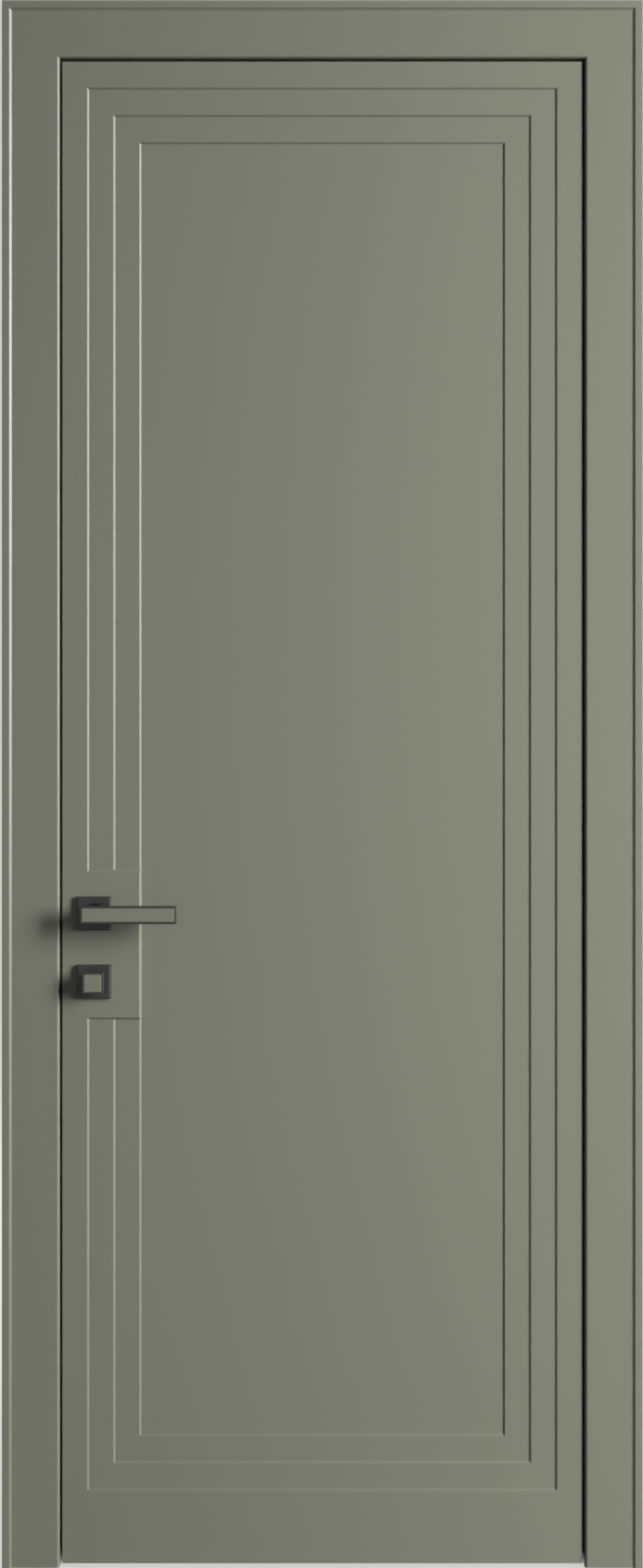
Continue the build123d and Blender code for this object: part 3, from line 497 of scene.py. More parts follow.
class Workpiece:
    """A mesh that is modelled with operators, in the door's own frame."""

    def __init__(self, obj: bpy.types.Object) -> None:
        """Take over an object."""
        self.obj = obj

    @staticmethod
    def _adopt(name: str) -> "Workpiece":
        """Name the primitive that was just added and put its place into its mesh.

        Args:
            name: The piece's name.

        Returns:
            The new workpiece.
        """
        obj = bpy.context.active_object
        obj.name = name
        obj.data.name = name
        bpy.ops.object.transform_apply(location=True, rotation=True, scale=True)
        return Workpiece(obj)

    @classmethod
    def block(cls, name: str, low: Place, high: Place) -> "Workpiece":
        """Add a block between two corners.

        Args:
            name: The piece's name.
            low: Its lowest corner.
            high: Its highest corner.

        Returns:
            The new workpiece.
        """
        bpy.ops.object.select_all(action="DESELECT")
        size = Vector(high) - Vector(low)
        bpy.ops.mesh.primitive_cube_add(size=1.0, location=(Vector(low) + Vector(high)) / 2)
        bpy.context.active_object.scale = size
        return cls._adopt(name)

    @classmethod
    def rod(cls, name: str, radius: float, start: Place, end: Place, sides: int = 48) -> "Workpiece":
        """Add a round rod between two points.

        Args:
            name: The piece's name.
            radius: Its radius.
            start: The middle of one end.
            end: The middle of the other end.
            sides: Facets round it.

        Returns:
            The new workpiece.
        """
        bpy.ops.object.select_all(action="DESELECT")
        axis = Vector(end) - Vector(start)
        turn = axis.to_track_quat("Z", "Y").to_euler()
        bpy.ops.mesh.primitive_cylinder_add(
            vertices=sides, radius=radius, depth=axis.length,
            location=(Vector(start) + Vector(end)) / 2, rotation=turn,
        )
        return cls._adopt(name)

    def copied(self, name: str) -> "Workpiece":
        """Copy the piece with a mesh of its own.

        Args:
            name: The copy's name.

        Returns:
            The copy.
        """
        twin = self.obj.copy()
        twin.data = self.obj.data.copy()
        twin.name = name
        twin.data.name = name
        bpy.context.collection.objects.link(twin)
        return Workpiece(twin)

    def _take_up(self) -> None:
        """Make this the one selected and active object."""
        bpy.ops.object.select_all(action="DESELECT")
        self.obj.select_set(True)
        bpy.context.view_layer.objects.active = self.obj

    def _settle(self) -> "Workpiece":
        """Put the object's place, turn and scale into its mesh."""
        bpy.ops.object.transform_apply(location=True, rotation=True, scale=True)
        return self

    @contextmanager
    def editing(self, mode: str = "FACE") -> Iterator[bmesh.types.BMesh]:
        """Open edit mode with nothing selected.

        Args:
            mode: VERT, EDGE or FACE selection.

        Yields:
            The edit mesh, to read places and normals from.
        """
        self._take_up()
        bpy.ops.object.mode_set(mode="EDIT")
        bpy.ops.mesh.select_mode(type=mode)
        bpy.ops.mesh.select_all(action="DESELECT")
        yield bmesh.from_edit_mesh(self.obj.data)
        bpy.ops.object.mode_set(mode="OBJECT")

    def pick_faces(self, test: FaceTest) -> None:
        """Select faces, in edit mode.

        Args:
            test: Takes a face's middle and normal.
        """
        mesh = bmesh.from_edit_mesh(self.obj.data)
        mesh.normal_update()
        for face in mesh.faces:
            if test(face.calc_center_median(), face.normal):
                face.select = True
        mesh.select_flush_mode()
        bmesh.update_edit_mesh(self.obj.data)

    def pick_edges(self, test: EdgeTest) -> None:
        """Select edges, in edit mode.

        Args:
            test: Takes an edge.
        """
        mesh = bmesh.from_edit_mesh(self.obj.data)
        mesh.normal_update()
        for edge in mesh.edges:
            if test(edge):
                edge.select = True
        mesh.select_flush_mode()
        bmesh.update_edit_mesh(self.obj.data)

    def score(self, axis: int, places: Sequence[float]) -> "Workpiece":
        """Cut the mesh through across an axis, keeping both halves.

        Args:
            axis: 0, 1 or 2.
            places: Where the cuts lie on that axis.

        Returns:
            This workpiece.
        """
        for place in places:
            with self.editing():
                bpy.ops.mesh.select_all(action="SELECT")
                bpy.ops.mesh.bisect(plane_co=on_axis(axis, place), plane_no=on_axis(axis, 1.0))
        return self

    def saw(self, through: Point, towards: Point) -> "Workpiece":
        """Saw off what lies beyond a plane and close the cut.

        Args:
            through: A point of the plane.
            towards: The side that is taken away.

        Returns:
            This workpiece.
        """
        with self.editing():
            bpy.ops.mesh.select_all(action="SELECT")
            bpy.ops.mesh.bisect(plane_co=through, plane_no=towards, clear_outer=True, use_fill=True)
        return self

    def push(self, test: FaceTest, move: Point) -> "Workpiece":
        """Extrude faces.

        Args:
            test: Takes a face's middle and normal.
            move: How far the faces go.

        Returns:
            This workpiece.
        """
        with self.editing():
            self.pick_faces(test)
            bpy.ops.mesh.extrude_region_move(TRANSFORM_OT_translate={"value": move})
        return self

    def sink(self, test: FaceTest, border: float, move: Point) -> "Workpiece":
        """Inset faces and push the inner ones, as for a pocket.

        Args:
            test: Takes a face's middle and normal.
            border: The width that stays round the pocket.
            move: How far the inner faces go.

        Returns:
            This workpiece.
        """
        with self.editing():
            self.pick_faces(test)
            bpy.ops.mesh.inset(thickness=border, depth=0.0)
            bpy.ops.mesh.extrude_region_move(TRANSFORM_OT_translate={"value": move})
        return self

    def crown(self, test: FaceTest, border: float, height: float) -> "Workpiece":
        """Inset faces and lift the inner ones, so that a slope runs round them.

        Args:
            test: Takes a face's middle and normal.
            border: The slope's width.
            height: The slope's height.

        Returns:
            This workpiece.
        """
        with self.editing():
            self.pick_faces(test)
            bpy.ops.mesh.inset(thickness=border, depth=height)
        return self

    def shift(self, test: Callable[[Vector], bool], move: Point) -> "Workpiece":
        """Move corners.

        Args:
            test: Takes a corner's place.
            move: How far the corners go.

        Returns:
            This workpiece.
        """
        with self.editing("VERT") as mesh:
            for vert in mesh.verts:
                vert.select = test(vert.co)
            mesh.select_flush_mode()
            bmesh.update_edit_mesh(self.obj.data)
            bpy.ops.transform.translate(value=move)
        return self

    def chamfer(self, test: EdgeTest, width: float, steps: int = 1) -> "Workpiece":
        """Bevel edges.

        Args:
            test: Takes an edge.
            width: The bevel's width.
            steps: Facets across it; more make it round.

        Returns:
            This workpiece.
        """
        with self.editing("EDGE"):
            self.pick_edges(test)
            bpy.ops.mesh.bevel(offset=width, segments=steps, profile=0.5, affect="EDGES")
        return self

    def tidied(self) -> "Workpiece":
        """Merge doubles and turn every face outwards.

        Returns:
            This workpiece.
        """
        with self.editing():
            bpy.ops.mesh.select_all(action="SELECT")
            bpy.ops.mesh.remove_doubles(threshold=1e-6)
            bpy.ops.mesh.normals_make_consistent(inside=False)
        return self

    def altered(self, kind: str, **settings: Any) -> "Workpiece":
        """Add a modifier and apply it.

        Args:
            kind: The modifier's type.
            settings: Its attributes.

        Returns:
            This workpiece.
        """
        self._take_up()
        modifier = self.obj.modifiers.new(kind.lower(), kind)
        for key, value in settings.items():
            setattr(modifier, key, value)
        bpy.ops.object.modifier_apply(modifier=modifier.name)
        return self

    def eased(self, width: float, steps: int = 2, angle: float = 30.0) -> "Workpiece":
        """Round off sharp edges.

        Args:
            width: The rounding's width.
            steps: Facets across it.
            angle: Edges sharper than this many degrees are rounded.

        Returns:
            This workpiece.
        """
        return self.altered(
            "BEVEL", width=width, segments=steps, limit_method="ANGLE", angle_limit=math.radians(angle),
            use_clamp_overlap=True, miter_outer="MITER_ARC",
        )

    def _combined(self, operation: str, others: Sequence["Workpiece"]) -> "Workpiece":
        """Run a boolean with other workpieces and throw them away.

        Args:
            operation: DIFFERENCE or UNION.
            others: The other workpieces.

        Returns:
            This workpiece.
        """
        for other in others:
            self.altered("BOOLEAN", operation=operation, solver="EXACT", object=other.obj)
            other.scrap()
        return self

    def minus(self, *cutters: "Workpiece") -> "Workpiece":
        """Cut other workpieces out of this one."""
        return self._combined("DIFFERENCE", cutters)

    def plus(self, *parts: "Workpiece") -> "Workpiece":
        """Fuse other workpieces to this one."""
        return self._combined("UNION", parts)

    def scrap(self) -> None:
        """Remove the object and its mesh."""
        mesh = self.obj.data
        bpy.data.objects.remove(self.obj)
        bpy.data.meshes.remove(mesh)

    def mirrored(self, axis: int, plane: float = 0.0) -> "Workpiece":
        """Mirror the mesh in a plane across an axis.

        Args:
            axis: 0, 1 or 2.
            plane: The plane's place on that axis.

        Returns:
            This workpiece.
        """
        self._take_up()
        self.obj.scale[axis] = -1.0
        self.obj.location = on_axis(axis, 2 * plane)
        return self._settle().tidied()

    def placed(self, move: Place, turn: Point = (0.0, 0.0, 0.0)) -> "Workpiece":
        """Turn the mesh about the origin and then move it.

        Args:
            move: How far it goes.
            turn: Its turn about each axis, in radians.

        Returns:
            This workpiece.
        """
        self._take_up()
        self.obj.rotation_euler = turn
        self.obj.location = move
        return self._settle()

    def joined(self, others: Sequence["Workpiece"]) -> "Workpiece":
        """Take other workpieces into this object as separate shells.

        Args:
            others: The other workpieces.

        Returns:
            This workpiece.
        """
        bpy.ops.object.select_all(action="DESELECT")
        for piece in (self, *others):
            piece.obj.select_set(True)
        bpy.context.view_layer.objects.active = self.obj
        bpy.ops.object.join()
        return self

    def dressed(
        self, finish: bpy.types.Material, body: str, slot: str, *nodes: str, angle: float = 35.0
    ) -> bpy.types.Object:
        """Shade, paint and hand over the piece.

        Args:
            finish: Its material.
            body: The body that it rides on.
            slot: The record's material slot; not used.
            nodes: The solids that it stands for.
            angle: Edges sharper than this many degrees stay sharp.

        Returns:
            The finished object.
        """
        self._take_up()
        bpy.ops.object.shade_smooth_by_angle(angle=math.radians(angle))
        self.altered("WEIGHTED_NORMAL", keep_sharp=True, weight=100)
        self.obj.data.materials.clear()
        self.obj.data.materials.append(finish)
        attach(self.obj, body)
        if nodes:
            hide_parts(*nodes)
        log.info("%s rides on %s with %d faces", self.obj.name, body, len(self.obj.data.polygons))
        return self.obj


@dataclass
class Leaf:
    """The leaf: two milled faces over the stiles and rails."""

    finishes: Finishes
    step_count: int = 3
    step_depth: float = 2.0 * MM
    step_bevel: float = 2.5 * MM
    side_step: float = 40.0 * MM
    head_step: float = 41.4 * MM
    low_border: float = 113.0 * MM
    wall_slack: float = 1.0 * MM
    pad_low: float = 842.0 * MM
    pad_high: float = 1071.0 * MM
    pad_root: float = 8.0 * MM
    arris: float = 0.5 * MM
    cup_seat: Point = (15.1 * MM, 36.2 * MM, 100.2 * MM)
    cup_corner: float = 8.1 * MM
    bore: float = 10.5 * MM
    bolt_bore: float = 3.0 * MM
    bolt_offset: float = 19.0 * MM
    bore_reach: float = 40.0 * MM
    overrun: float = 2.0 * MM

    def recess(self, step: int, low: Vector, high: Vector) -> tuple[float, float, float, float]:
        """Work out how far a step's floor goes.

        Args:
            step: The step, counted from outside.
            low: The face's lowest corner.
            high: The face's highest corner.

        Returns:
            The floor's left, right, lower and upper limits.
        """
        inset = self.step_bevel / 2
        return (
            low.x + (step + 1) * self.side_step + inset,
            high.x - (step + 1) * self.side_step - inset,
            low.z + self.low_border + step * self.head_step + inset,
            high.z - (step + 1) * self.head_step - inset,
        )

    def mill_step(self, face: Workpiece, level: float, limit: tuple[float, float, float, float]) -> None:
        """Sink one step into the face and lean its walls outwards.

        Args:
            face: The face that is milled.
            level: Where the step starts, along Y.
            limit: The limits of its floor.
        """
        left, right, lower, upper = limit
        face.push(
            lambda middle, normal: left < middle.x < right and lower < middle.z < upper and normal.y < -FACING,
            (0.0, self.step_depth, 0.0),
        )
        slack = self.step_bevel + self.wall_slack
        for axis, place, way in ((0, left, -1), (0, right, 1), (2, lower, -1), (2, upper, 1)):
            def on_wall(co: Vector) -> bool:
                """Say whether a corner is on this wall's upper edge."""
                near = left - slack < co.x < right + slack and lower - slack < co.z < upper + slack
                return near and about(co.y, level) and about(co[axis], place)

            face.shift(on_wall, on_axis(axis, way * self.step_bevel))

    def pad(self, low: Vector, right: float) -> Workpiece:
        """Make the pad that carries the rosettes, its walls leaning like the steps'.

        Args:
            low: The face's lowest corner.
            right: Where the pad's foot ends.

        Returns:
            The pad, with its root in the face.
        """
        pad = Workpiece.block(
            "pad", (low.x + self.side_step / 2, low.y, self.pad_low), (right, low.y + self.pad_root, self.pad_high)
        )
        pad.score(1, [low.y + self.step_depth])
        for axis, place, way in ((0, right, -1), (2, self.pad_low, 1), (2, self.pad_high, -1)):
            pad.shift(
                lambda co: about(co.y, low.y) and about(co[axis], place), on_axis(axis, way * self.step_bevel)
            )
        return pad

    def milled_face(self) -> Workpiece:
        """Make the pull side's face with its steps, pad and rounded edges.

        Returns:
            The face, before its bores are cut.
        """
        low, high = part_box("leaf_front_skin")
        limits = [self.recess(step, low, high) for step in range(self.step_count)]
        face = Workpiece.block("leaf_front_face", low, high)
        face.score(0, [x for limit in limits for x in limit[:2]])
        face.score(2, [z for limit in limits for z in limit[2:]])
        for step, limit in enumerate(limits):
            self.mill_step(face, low.y + step * self.step_depth, limit)
        face.plus(self.pad(low, limits[-1][0]))
        return face.tidied().eased(self.arris, steps=3)

    def cup_seats(self) -> list[Workpiece]:
        """Make cutters for the seats of the hinge cups.

        Returns:
            A cutter for each hinge.
        """
        cutters = []
        half = Vector(self.cup_seat) / 2
        for level in Level:
            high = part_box(f"{level.value}_hinge_leaf_cup")[1]
            middle = middle_of(f"{level.value}_hinge_leaf_cup")
            cutter = Workpiece.block(
                "seat_cutter", (high.x - self.cup_seat[0], middle.y - half.y, middle.z - half.z),
                (high.x + self.overrun, middle.y + half.y, middle.z + half.z),
            )
            cutters.append(cutter.chamfer(lambda edge: runs_along(edge, 0), self.cup_corner, steps=6))
        return cutters

    def handle_bores(self) -> list[Workpiece]:
        """Make cutters for the bores of the handles and of the bolts beside them.

        Returns:
            Three cutters for each pair of rosettes.
        """
        cutters = []
        bores = ((self.bore, 0.0), (self.bolt_bore, self.bolt_offset), (self.bolt_bore, -self.bolt_offset))
        for rosette in ("lever_rosette_front", "turn_rosette_front"):
            middle = middle_of(rosette)
            for radius, offset in bores:
                ends = [(middle.x, reach, middle.z + offset) for reach in (-self.bore_reach, self.bore_reach)]
                cutters.append(Workpiece.rod("bore_cutter", radius, *ends, sides=32))
        return cutters

    def build(self) -> None:
        """Build both faces and dress the rest of the leaf."""
        front = self.milled_face()
        back = front.copied("leaf_back_face").mirrored(1)
        for piece, node in ((front, "leaf_front_skin"), (back, "leaf_back_skin")):
            piece.minus(*self.cup_seats(), *self.handle_bores())
            piece.dressed(self.finishes.leaf, "leaf", "leaf_paint", node)
        for node in ("leaf_lock_stile", "leaf_hinge_stile", "leaf_top_rail", "leaf_bottom_rail"):
            paint_node(node, self.finishes.leaf)
        paint_node("leaf_core", self.finishes.chips)


@dataclass
class CasedFrame:
    """The frame: jambs, stops, seal and the lipped casings of both sides."""

    finishes: Finishes
    gap: float = 3.5 * MM
    width: float = 88.0 * MM
    thickness: float = 8.0 * MM
    lip_width: float = 11.0 * MM
    lip_slope: float = 3.8 * MM
    lip_height: float = 2.4 * MM
    round_inside: float = 4.5 * MM
    tongue_inset: float = 23.0 * MM
    tongue_thickness: float = 6.0 * MM
    tongue_length: float = 9.0 * MM
    relief_depth: float = 1.5 * MM
    relief: tuple[float, float] = (41.0 * MM, 78.0 * MM)
    arris: float = 0.6 * MM
    spare: float = 20.0 * MM
    smooth_angle: float = 20.0

    def run(self, name: str, length: float) -> Workpiece:
        """Make a straight length of casing: x outwards from the leaf's edge, z along it.

        Args:
            name: The piece's name.
            length: How far it runs either way from zero.

        Returns:
            The length, before its mitres are sawn.
        """
        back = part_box("lock_jamb")[0].y
        face = back - self.thickness
        top = face - self.lip_height
        inner, outer = self.gap, self.gap + self.width
        lip = outer - self.lip_width
        foot = lip - self.lip_slope
        tongue = [inner + self.tongue_inset + side * self.tongue_thickness / 2 for side in (-1, 1)]
        relief = [inner + place for place in self.relief]

        def strip(way: float, left: float, right: float) -> FaceTest:
            """Return a test for the front's (-1) or the back's (1) faces between two places."""
            return lambda middle, normal: way * normal.y > FACING and left < middle.x < right

        def at_section(edge: Edge, x: float, y: float) -> bool:
            """Say whether an edge runs along the casing at a place of its section."""
            return all(about(v.co.x, x) and about(v.co.y, y) for v in edge.verts)

        piece = Workpiece.block(name, (inner, face, -length), (outer, back, length))
        piece.score(0, [foot, *tongue, *relief])
        piece.push(strip(-1.0, foot, outer), (0.0, -self.lip_height, 0.0))
        piece.shift(lambda co: about(co.x, foot) and about(co.y, top), (self.lip_slope, 0.0, 0.0))
        piece.push(strip(1.0, *tongue), (0.0, self.tongue_length, 0.0))
        piece.push(strip(1.0, *relief), (0.0, -self.relief_depth, 0.0))
        piece.chamfer(lambda edge: at_section(edge, inner, face), self.round_inside, steps=8)
        return piece.chamfer(
            lambda edge: at_section(edge, lip, top) or at_section(edge, outer, top), self.arris, steps=3
        )

    def casing(self, leg: Leg) -> Workpiece:
        """Make one front casing.

        Args:
            leg: The run of the frame that it covers.

        Returns:
            The casing, mitred and in place.
        """
        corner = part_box("leaf_hinge_stile")[1]
        half, top = corner.x, corner.z
        name = f"front_casing_{leg.value}_board"
        if leg is Leg.HEAD:
            piece = self.run(name, half + self.width + self.spare)
            piece.placed((0.0, 0.0, top), (0.0, -math.pi / 2, 0.0))
            piece.saw((half, 0.0, top), (1.0, 0.0, -1.0))
            return piece.saw((-half, 0.0, top), (-1.0, 0.0, -1.0)).tidied()
        piece = self.run(name, top + self.width + self.spare)
        piece.placed((half, 0.0, 0.0))
        piece.saw((half, 0.0, top), (-1.0, 0.0, 1.0)).saw((0.0, 0.0, 0.0), (0.0, 0.0, -1.0))
        return piece.mirrored(0) if leg is Leg.LOCK else piece.tidied()

    def build(self) -> None:
        """Build the casings of both sides and dress the rest of the frame."""
        for leg in Leg:
            front = self.casing(leg)
            rear = front.copied(f"rear_casing_{leg.value}_board").mirrored(1, middle_of("lock_jamb").y)
            for piece, node in ((front, f"front_casing_{leg.value}"), (rear, f"rear_casing_{leg.value}")):
                piece.dressed(self.finishes.frame, "frame", "frame_paint", node, angle=self.smooth_angle)
        for node in ("lock_jamb", "hinge_jamb", "head_jamb", "lock_stop", "hinge_stop", "head_stop"):
            paint_node(node, self.finishes.frame)
        paint_node("frame_seal", self.finishes.rubber)


@dataclass
class Rosettes:
    """Four square rosette covers over the bases that the handles turn in."""

    finishes: Finishes
    bevel: float = 2.0 * MM
    wall: float = 1.5 * MM
    arris: float = 0.35 * MM
    bush_opening: float = 15.5 * MM
    turn_opening: float = 8.3 * MM
    rim: float = 0.3 * MM
    rim_slack: float = 0.1 * MM
    overrun: float = 1.0 * MM

    def shell(self) -> Workpiece:
        """Make the front lever's cover, hollow at its back.

        Returns:
            The cover, before its opening is cut.
        """
        low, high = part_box("lever_rosette_front")
        shell = Workpiece.block("rosette_shell", low, high)
        shell.chamfer(lambda edge: level_at(edge, 1, [low.y]), self.bevel)
        shell.eased(self.arris, steps=3)
        hollow = high.y - low.y - self.wall
        return shell.sink(lambda middle, normal: normal.y > FACING, self.wall - self.arris, (0.0, -hollow, 0.0))

    def cover(self, shell: Workpiece, node: str, opening: float) -> Workpiece:
        """Make one cover in its place.

        Args:
            shell: The cover that all four are copied from.
            node: The solid that it stands for.
            opening: The radius of its round opening.

        Returns:
            The cover with its opening cut and the opening's rim eased.
        """
        low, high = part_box(node)
        middle, home = middle_of(node), middle_of("lever_rosette_front")
        cover = shell.copied(f"{node}_cover")
        if middle.y > 0:
            cover.mirrored(1)
        cover.placed((middle.x - home.x, 0.0, middle.z - home.z))
        ends = [(middle.x, y, middle.z) for y in (low.y - self.overrun, high.y + self.overrun)]
        cover.minus(Workpiece.rod("opening_cutter", opening, *ends, sides=64))
        front = low.y if middle.y < 0 else high.y

        def on_rim(edge: Edge) -> bool:
            """Say whether an edge is on the opening's front rim."""
            radii = [math.hypot(v.co.x - middle.x, v.co.z - middle.z) for v in edge.verts]
            return level_at(edge, 1, [front]) and all(about(radius, opening, self.rim_slack) for radius in radii)

        return cover.chamfer(on_rim, self.rim, steps=2)

    def build(self) -> None:
        """Build the covers and dress what they hide."""
        shell = self.shell()
        openings = {
            "lever_rosette_front": self.bush_opening,
            "lever_rosette_back": self.bush_opening,
            "turn_rosette_front": self.turn_opening,
            "release_rosette_back": self.turn_opening,
        }
        for node, opening in openings.items():
            self.cover(shell, node, opening).dressed(self.finishes.graphite, "leaf", "graphite_metal", node)
        shell.scrap()
        # The bases' near-black colour is painted shade for the gap inside the rosette openings.
        paint_node("rosette_bases", self.finishes.nylon_and_painted_shade)
        paint_node("rosette_bolts", self.finishes.zinc)


@dataclass
class Plated:
    """A handle's flat bar with a pocket in its face and the plate that lies in it."""

    corner: float = 1.5 * MM
    edge: float = 1.0 * MM
    border: float = 3.2 * MM
    pocket: float = 1.6 * MM
    arris: float = 0.25 * MM
    plate_bevel: float = 0.9 * MM
    plate_rise: float = 0.4 * MM
    plate_edge: float = 0.15 * MM
    plate_angle: float = 15.0

    def bar(self, name: str, low: Vector, high: Vector) -> Workpiece:
        """Make a bar between two corners, its face towards -Y.

        Args:
            name: The piece's name.
            low: Its lowest corner.
            high: Its highest corner.

        Returns:
            The bar with its pocket, round corners and rounded edges.
        """
        bar = Workpiece.block(name, low, high)
        bar.sink(lambda middle, normal: normal.y < -FACING, self.border, (0.0, self.pocket, 0.0))
        ring = Vector((1.0, 0.0, 1.0)) * (self.border - self.arris)
        inner, outer = low + ring, high - ring

        def at_corner(edge: Edge) -> bool:
            """Say whether an edge is one of the bar's four outer corners."""
            return runs_along(edge, 1) and level_at(edge, 0, [low.x, high.x]) and level_at(edge, 2, [low.z, high.z])

        def within(edge: Edge) -> bool:
            """Say whether an edge lies inside the ring round the pocket."""
            return all(inner.x < v.co.x < outer.x and inner.z < v.co.z < outer.z for v in edge.verts)

        def on_outline(edge: Edge) -> bool:
            """Say whether an edge is on the outline of the front or the back."""
            walled = any(abs(face.normal.y) < 1 - FACING for face in edge.link_faces)
            return walled and not within(edge) and level_at(edge, 1, [low.y, high.y])

        bar.chamfer(at_corner, self.corner, steps=5)
        bar.chamfer(on_outline, self.edge, steps=4)
        return bar.chamfer(lambda edge: within(edge) and level_at(edge, 1, [low.y]), self.arris, steps=2).tidied()

    def plate(self, name: str, node: str) -> Workpiece:
        """Make the plate that stands a little proud of the pocket.

        Args:
            name: The piece's name.
            node: The solid that it stands for.

        Returns:
            The plate, its face bevelled all round.
        """
        low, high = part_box(node)
        plate = Workpiece.block(name, low + Vector((0.0, self.plate_rise, 0.0)), high)
        plate.crown(lambda middle, normal: normal.y < -FACING, self.plate_bevel, self.plate_rise)
        return plate.eased(self.plate_edge, steps=3, angle=self.plate_angle)


@dataclass
class LeverSet:
    """The two levers on their common spindle."""

    finishes: Finishes
    plated: Plated = field(default_factory=Plated)
    bar_thickness: float = 12.0 * MM
    neck: tuple[float, float] = (21.0 * MM, 24.0 * MM)
    neck_corner: float = 4.0 * MM
    neck_edge: float = 0.55 * MM
    neck_end: float = 33.5 * MM
    journal: float = 9.0 * MM
    grub_radius: float = 3.0 * MM
    grub_edge: float = 0.3 * MM
    socket_radius: float = 1.75 * MM
    socket_depth: float = 3.0 * MM
    overlap: float = 1.0 * MM

    def lever(self) -> Workpiece:
        """Make the front lever: bar, neck and journal in one casting.

        Returns:
            The lever with the grub screw's hole.
        """
        low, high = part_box("lever_front")
        axis = middle_of("lever_spindle")
        back = low.y + self.bar_thickness
        lever = self.plated.bar("lever_front_handle", low, Vector((high.x, back, high.z)))
        half = (self.neck[0] / 2, self.neck[1] / 2)
        neck = Workpiece.block(
            "neck", (axis.x - half[0], back - self.overlap, axis.z - half[1]),
            (axis.x + half[0], -self.neck_end, axis.z + half[1]),
        )
        neck.chamfer(lambda edge: runs_along(edge, 1), self.neck_corner, steps=8)
        neck.chamfer(lambda edge: level_at(edge, 1, [-self.neck_end]), self.neck_edge, steps=2)
        journal = Workpiece.rod(
            "journal", self.journal, (axis.x, -self.neck_end - self.overlap, axis.z), (axis.x, high.y, axis.z)
        )
        low_grub, high_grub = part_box("lever_grub_screws")
        x, y = middle_of("lever_grub_screws").x, low_grub.y + self.grub_radius
        ends = [(x, y, z) for z in (axis.z - half[1] - self.overlap, high_grub.z)]
        hole = Workpiece.rod("grub_cutter", self.grub_radius, *ends, sides=32)
        return lever.plus(neck, journal).minus(hole)

    def grub_screws(self) -> Workpiece:
        """Make both grub screws, each with a hexagon socket.

        Returns:
            The screws as one piece.
        """
        low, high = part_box("lever_grub_screws")
        x, y = middle_of("lever_grub_screws").x, low.y + self.grub_radius
        screw = Workpiece.rod("grub_screws", self.grub_radius, (x, y, low.z), (x, y, high.z), sides=32)
        screw.eased(self.grub_edge)
        ends = [(x, y, z) for z in (low.z - self.overlap, low.z + self.socket_depth)]
        screw.minus(Workpiece.rod("socket_cutter", self.socket_radius, *ends, sides=6))
        return screw.joined([screw.copied("grub_screw_back").mirrored(1)])

    def build(self) -> None:
        """Build both levers with their plates and dress the spindle."""
        front = self.lever()
        back = front.copied("lever_back_handle").mirrored(1)
        plate = self.plated.plate("lever_inlay_front_plate", "lever_inlay_front")
        plate_back = plate.copied("lever_inlay_back_plate").mirrored(1)
        front.dressed(self.finishes.graphite, "lever_set", "graphite_metal", "lever_front")
        back.dressed(self.finishes.graphite, "lever_set", "graphite_metal", "lever_back")
        plate.dressed(self.finishes.inlay, "lever_set", "inlay_paint", "lever_inlay_front")
        plate_back.dressed(self.finishes.inlay, "lever_set", "inlay_paint", "lever_inlay_back")
        self.grub_screws().dressed(self.finishes.zinc, "lever_set", "steel", "lever_grub_screws")
        paint_node("lever_spindle", self.finishes.steel)
        paint_node("lock_follower", self.finishes.zinc)


@dataclass
class TurnSet:
    """The square turn on its spindle and the coin release at the far end."""

    finishes: Finishes
    plated: Plated = field(default_factory=Plated)
    knob_thickness: float = 14.0 * MM
    journal: float = 8.0 * MM
    spindle: float = 6.0 * MM
    spindle_edge: float = 0.4 * MM
    disc_radius: float = 10.0 * MM
    disc_height: float = 2.5 * MM
    disc_edge: float = 0.6 * MM
    slot: Point = (2.2 * MM, 1.4 * MM, 15.0 * MM)
    slot_round_share: float = 0.98
    overlap: float = 1.0 * MM

    def knob(self) -> Workpiece:
        """Make the turn with its journal and spindle.

        Returns:
            The turn as one piece.
        """
        low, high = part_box("turn_knob")
        axis = (low + high) / 2
        back = low.y + self.knob_thickness
        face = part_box("leaf_front_skin")[0].y
        knob = self.plated.bar("turn_knob_handle", low, Vector((high.x, back, high.z)))
        ends = [(axis.x, y, axis.z) for y in (back - self.overlap, face)]
        journal = Workpiece.rod("journal", self.journal, *ends)
        half = self.spindle / 2
        spindle = Workpiece.block(
            "spindle", (axis.x - half, face - self.overlap, axis.z - half), (axis.x + half, high.y, axis.z + half)
        )
        return knob.plus(journal, spindle.eased(self.spindle_edge))

    def release(self) -> Workpiece:
        """Make the release with its coin slot.

        Returns:
            The release as one piece.
        """
        low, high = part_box("release_button")
        axis = (low + high) / 2
        under = high.y - self.disc_height
        ends = [(axis.x, y, axis.z) for y in (under, high.y)]
        disc = Workpiece.rod("release_disc", self.disc_radius, *ends, sides=72)
        disc.chamfer(lambda edge: level_at(edge, 1, [high.y]), self.disc_edge, steps=4)
        ends = [(axis.x, y, axis.z) for y in (low.y, under + self.overlap / 2)]
        journal = Workpiece.rod("journal", self.journal, *ends)
        half = Vector(self.slot) / 2
        slot = Workpiece.block(
            "slot_cutter", (axis.x - half.x, high.y - self.slot[1], axis.z - half.z),
            (axis.x + half.x, high.y + self.overlap, axis.z + half.z),
        )
        slot.chamfer(lambda edge: runs_along(edge, 1), half.x * self.slot_round_share, steps=8)
        return disc.plus(journal).minus(slot)

    def build(self) -> None:
        """Build the turn, its plate and the release."""
        self.knob().dressed(self.finishes.graphite, "turn_set", "graphite_metal", "turn_knob")
        plate = self.plated.plate("turn_inlay_plate", "turn_inlay")
        plate.dressed(self.finishes.inlay, "turn_set", "inlay_paint", "turn_inlay")
        self.release().dressed(self.finishes.graphite, "turn_set", "graphite_metal", "release_button")
        paint_node("deadbolt_cam", self.finishes.zinc)


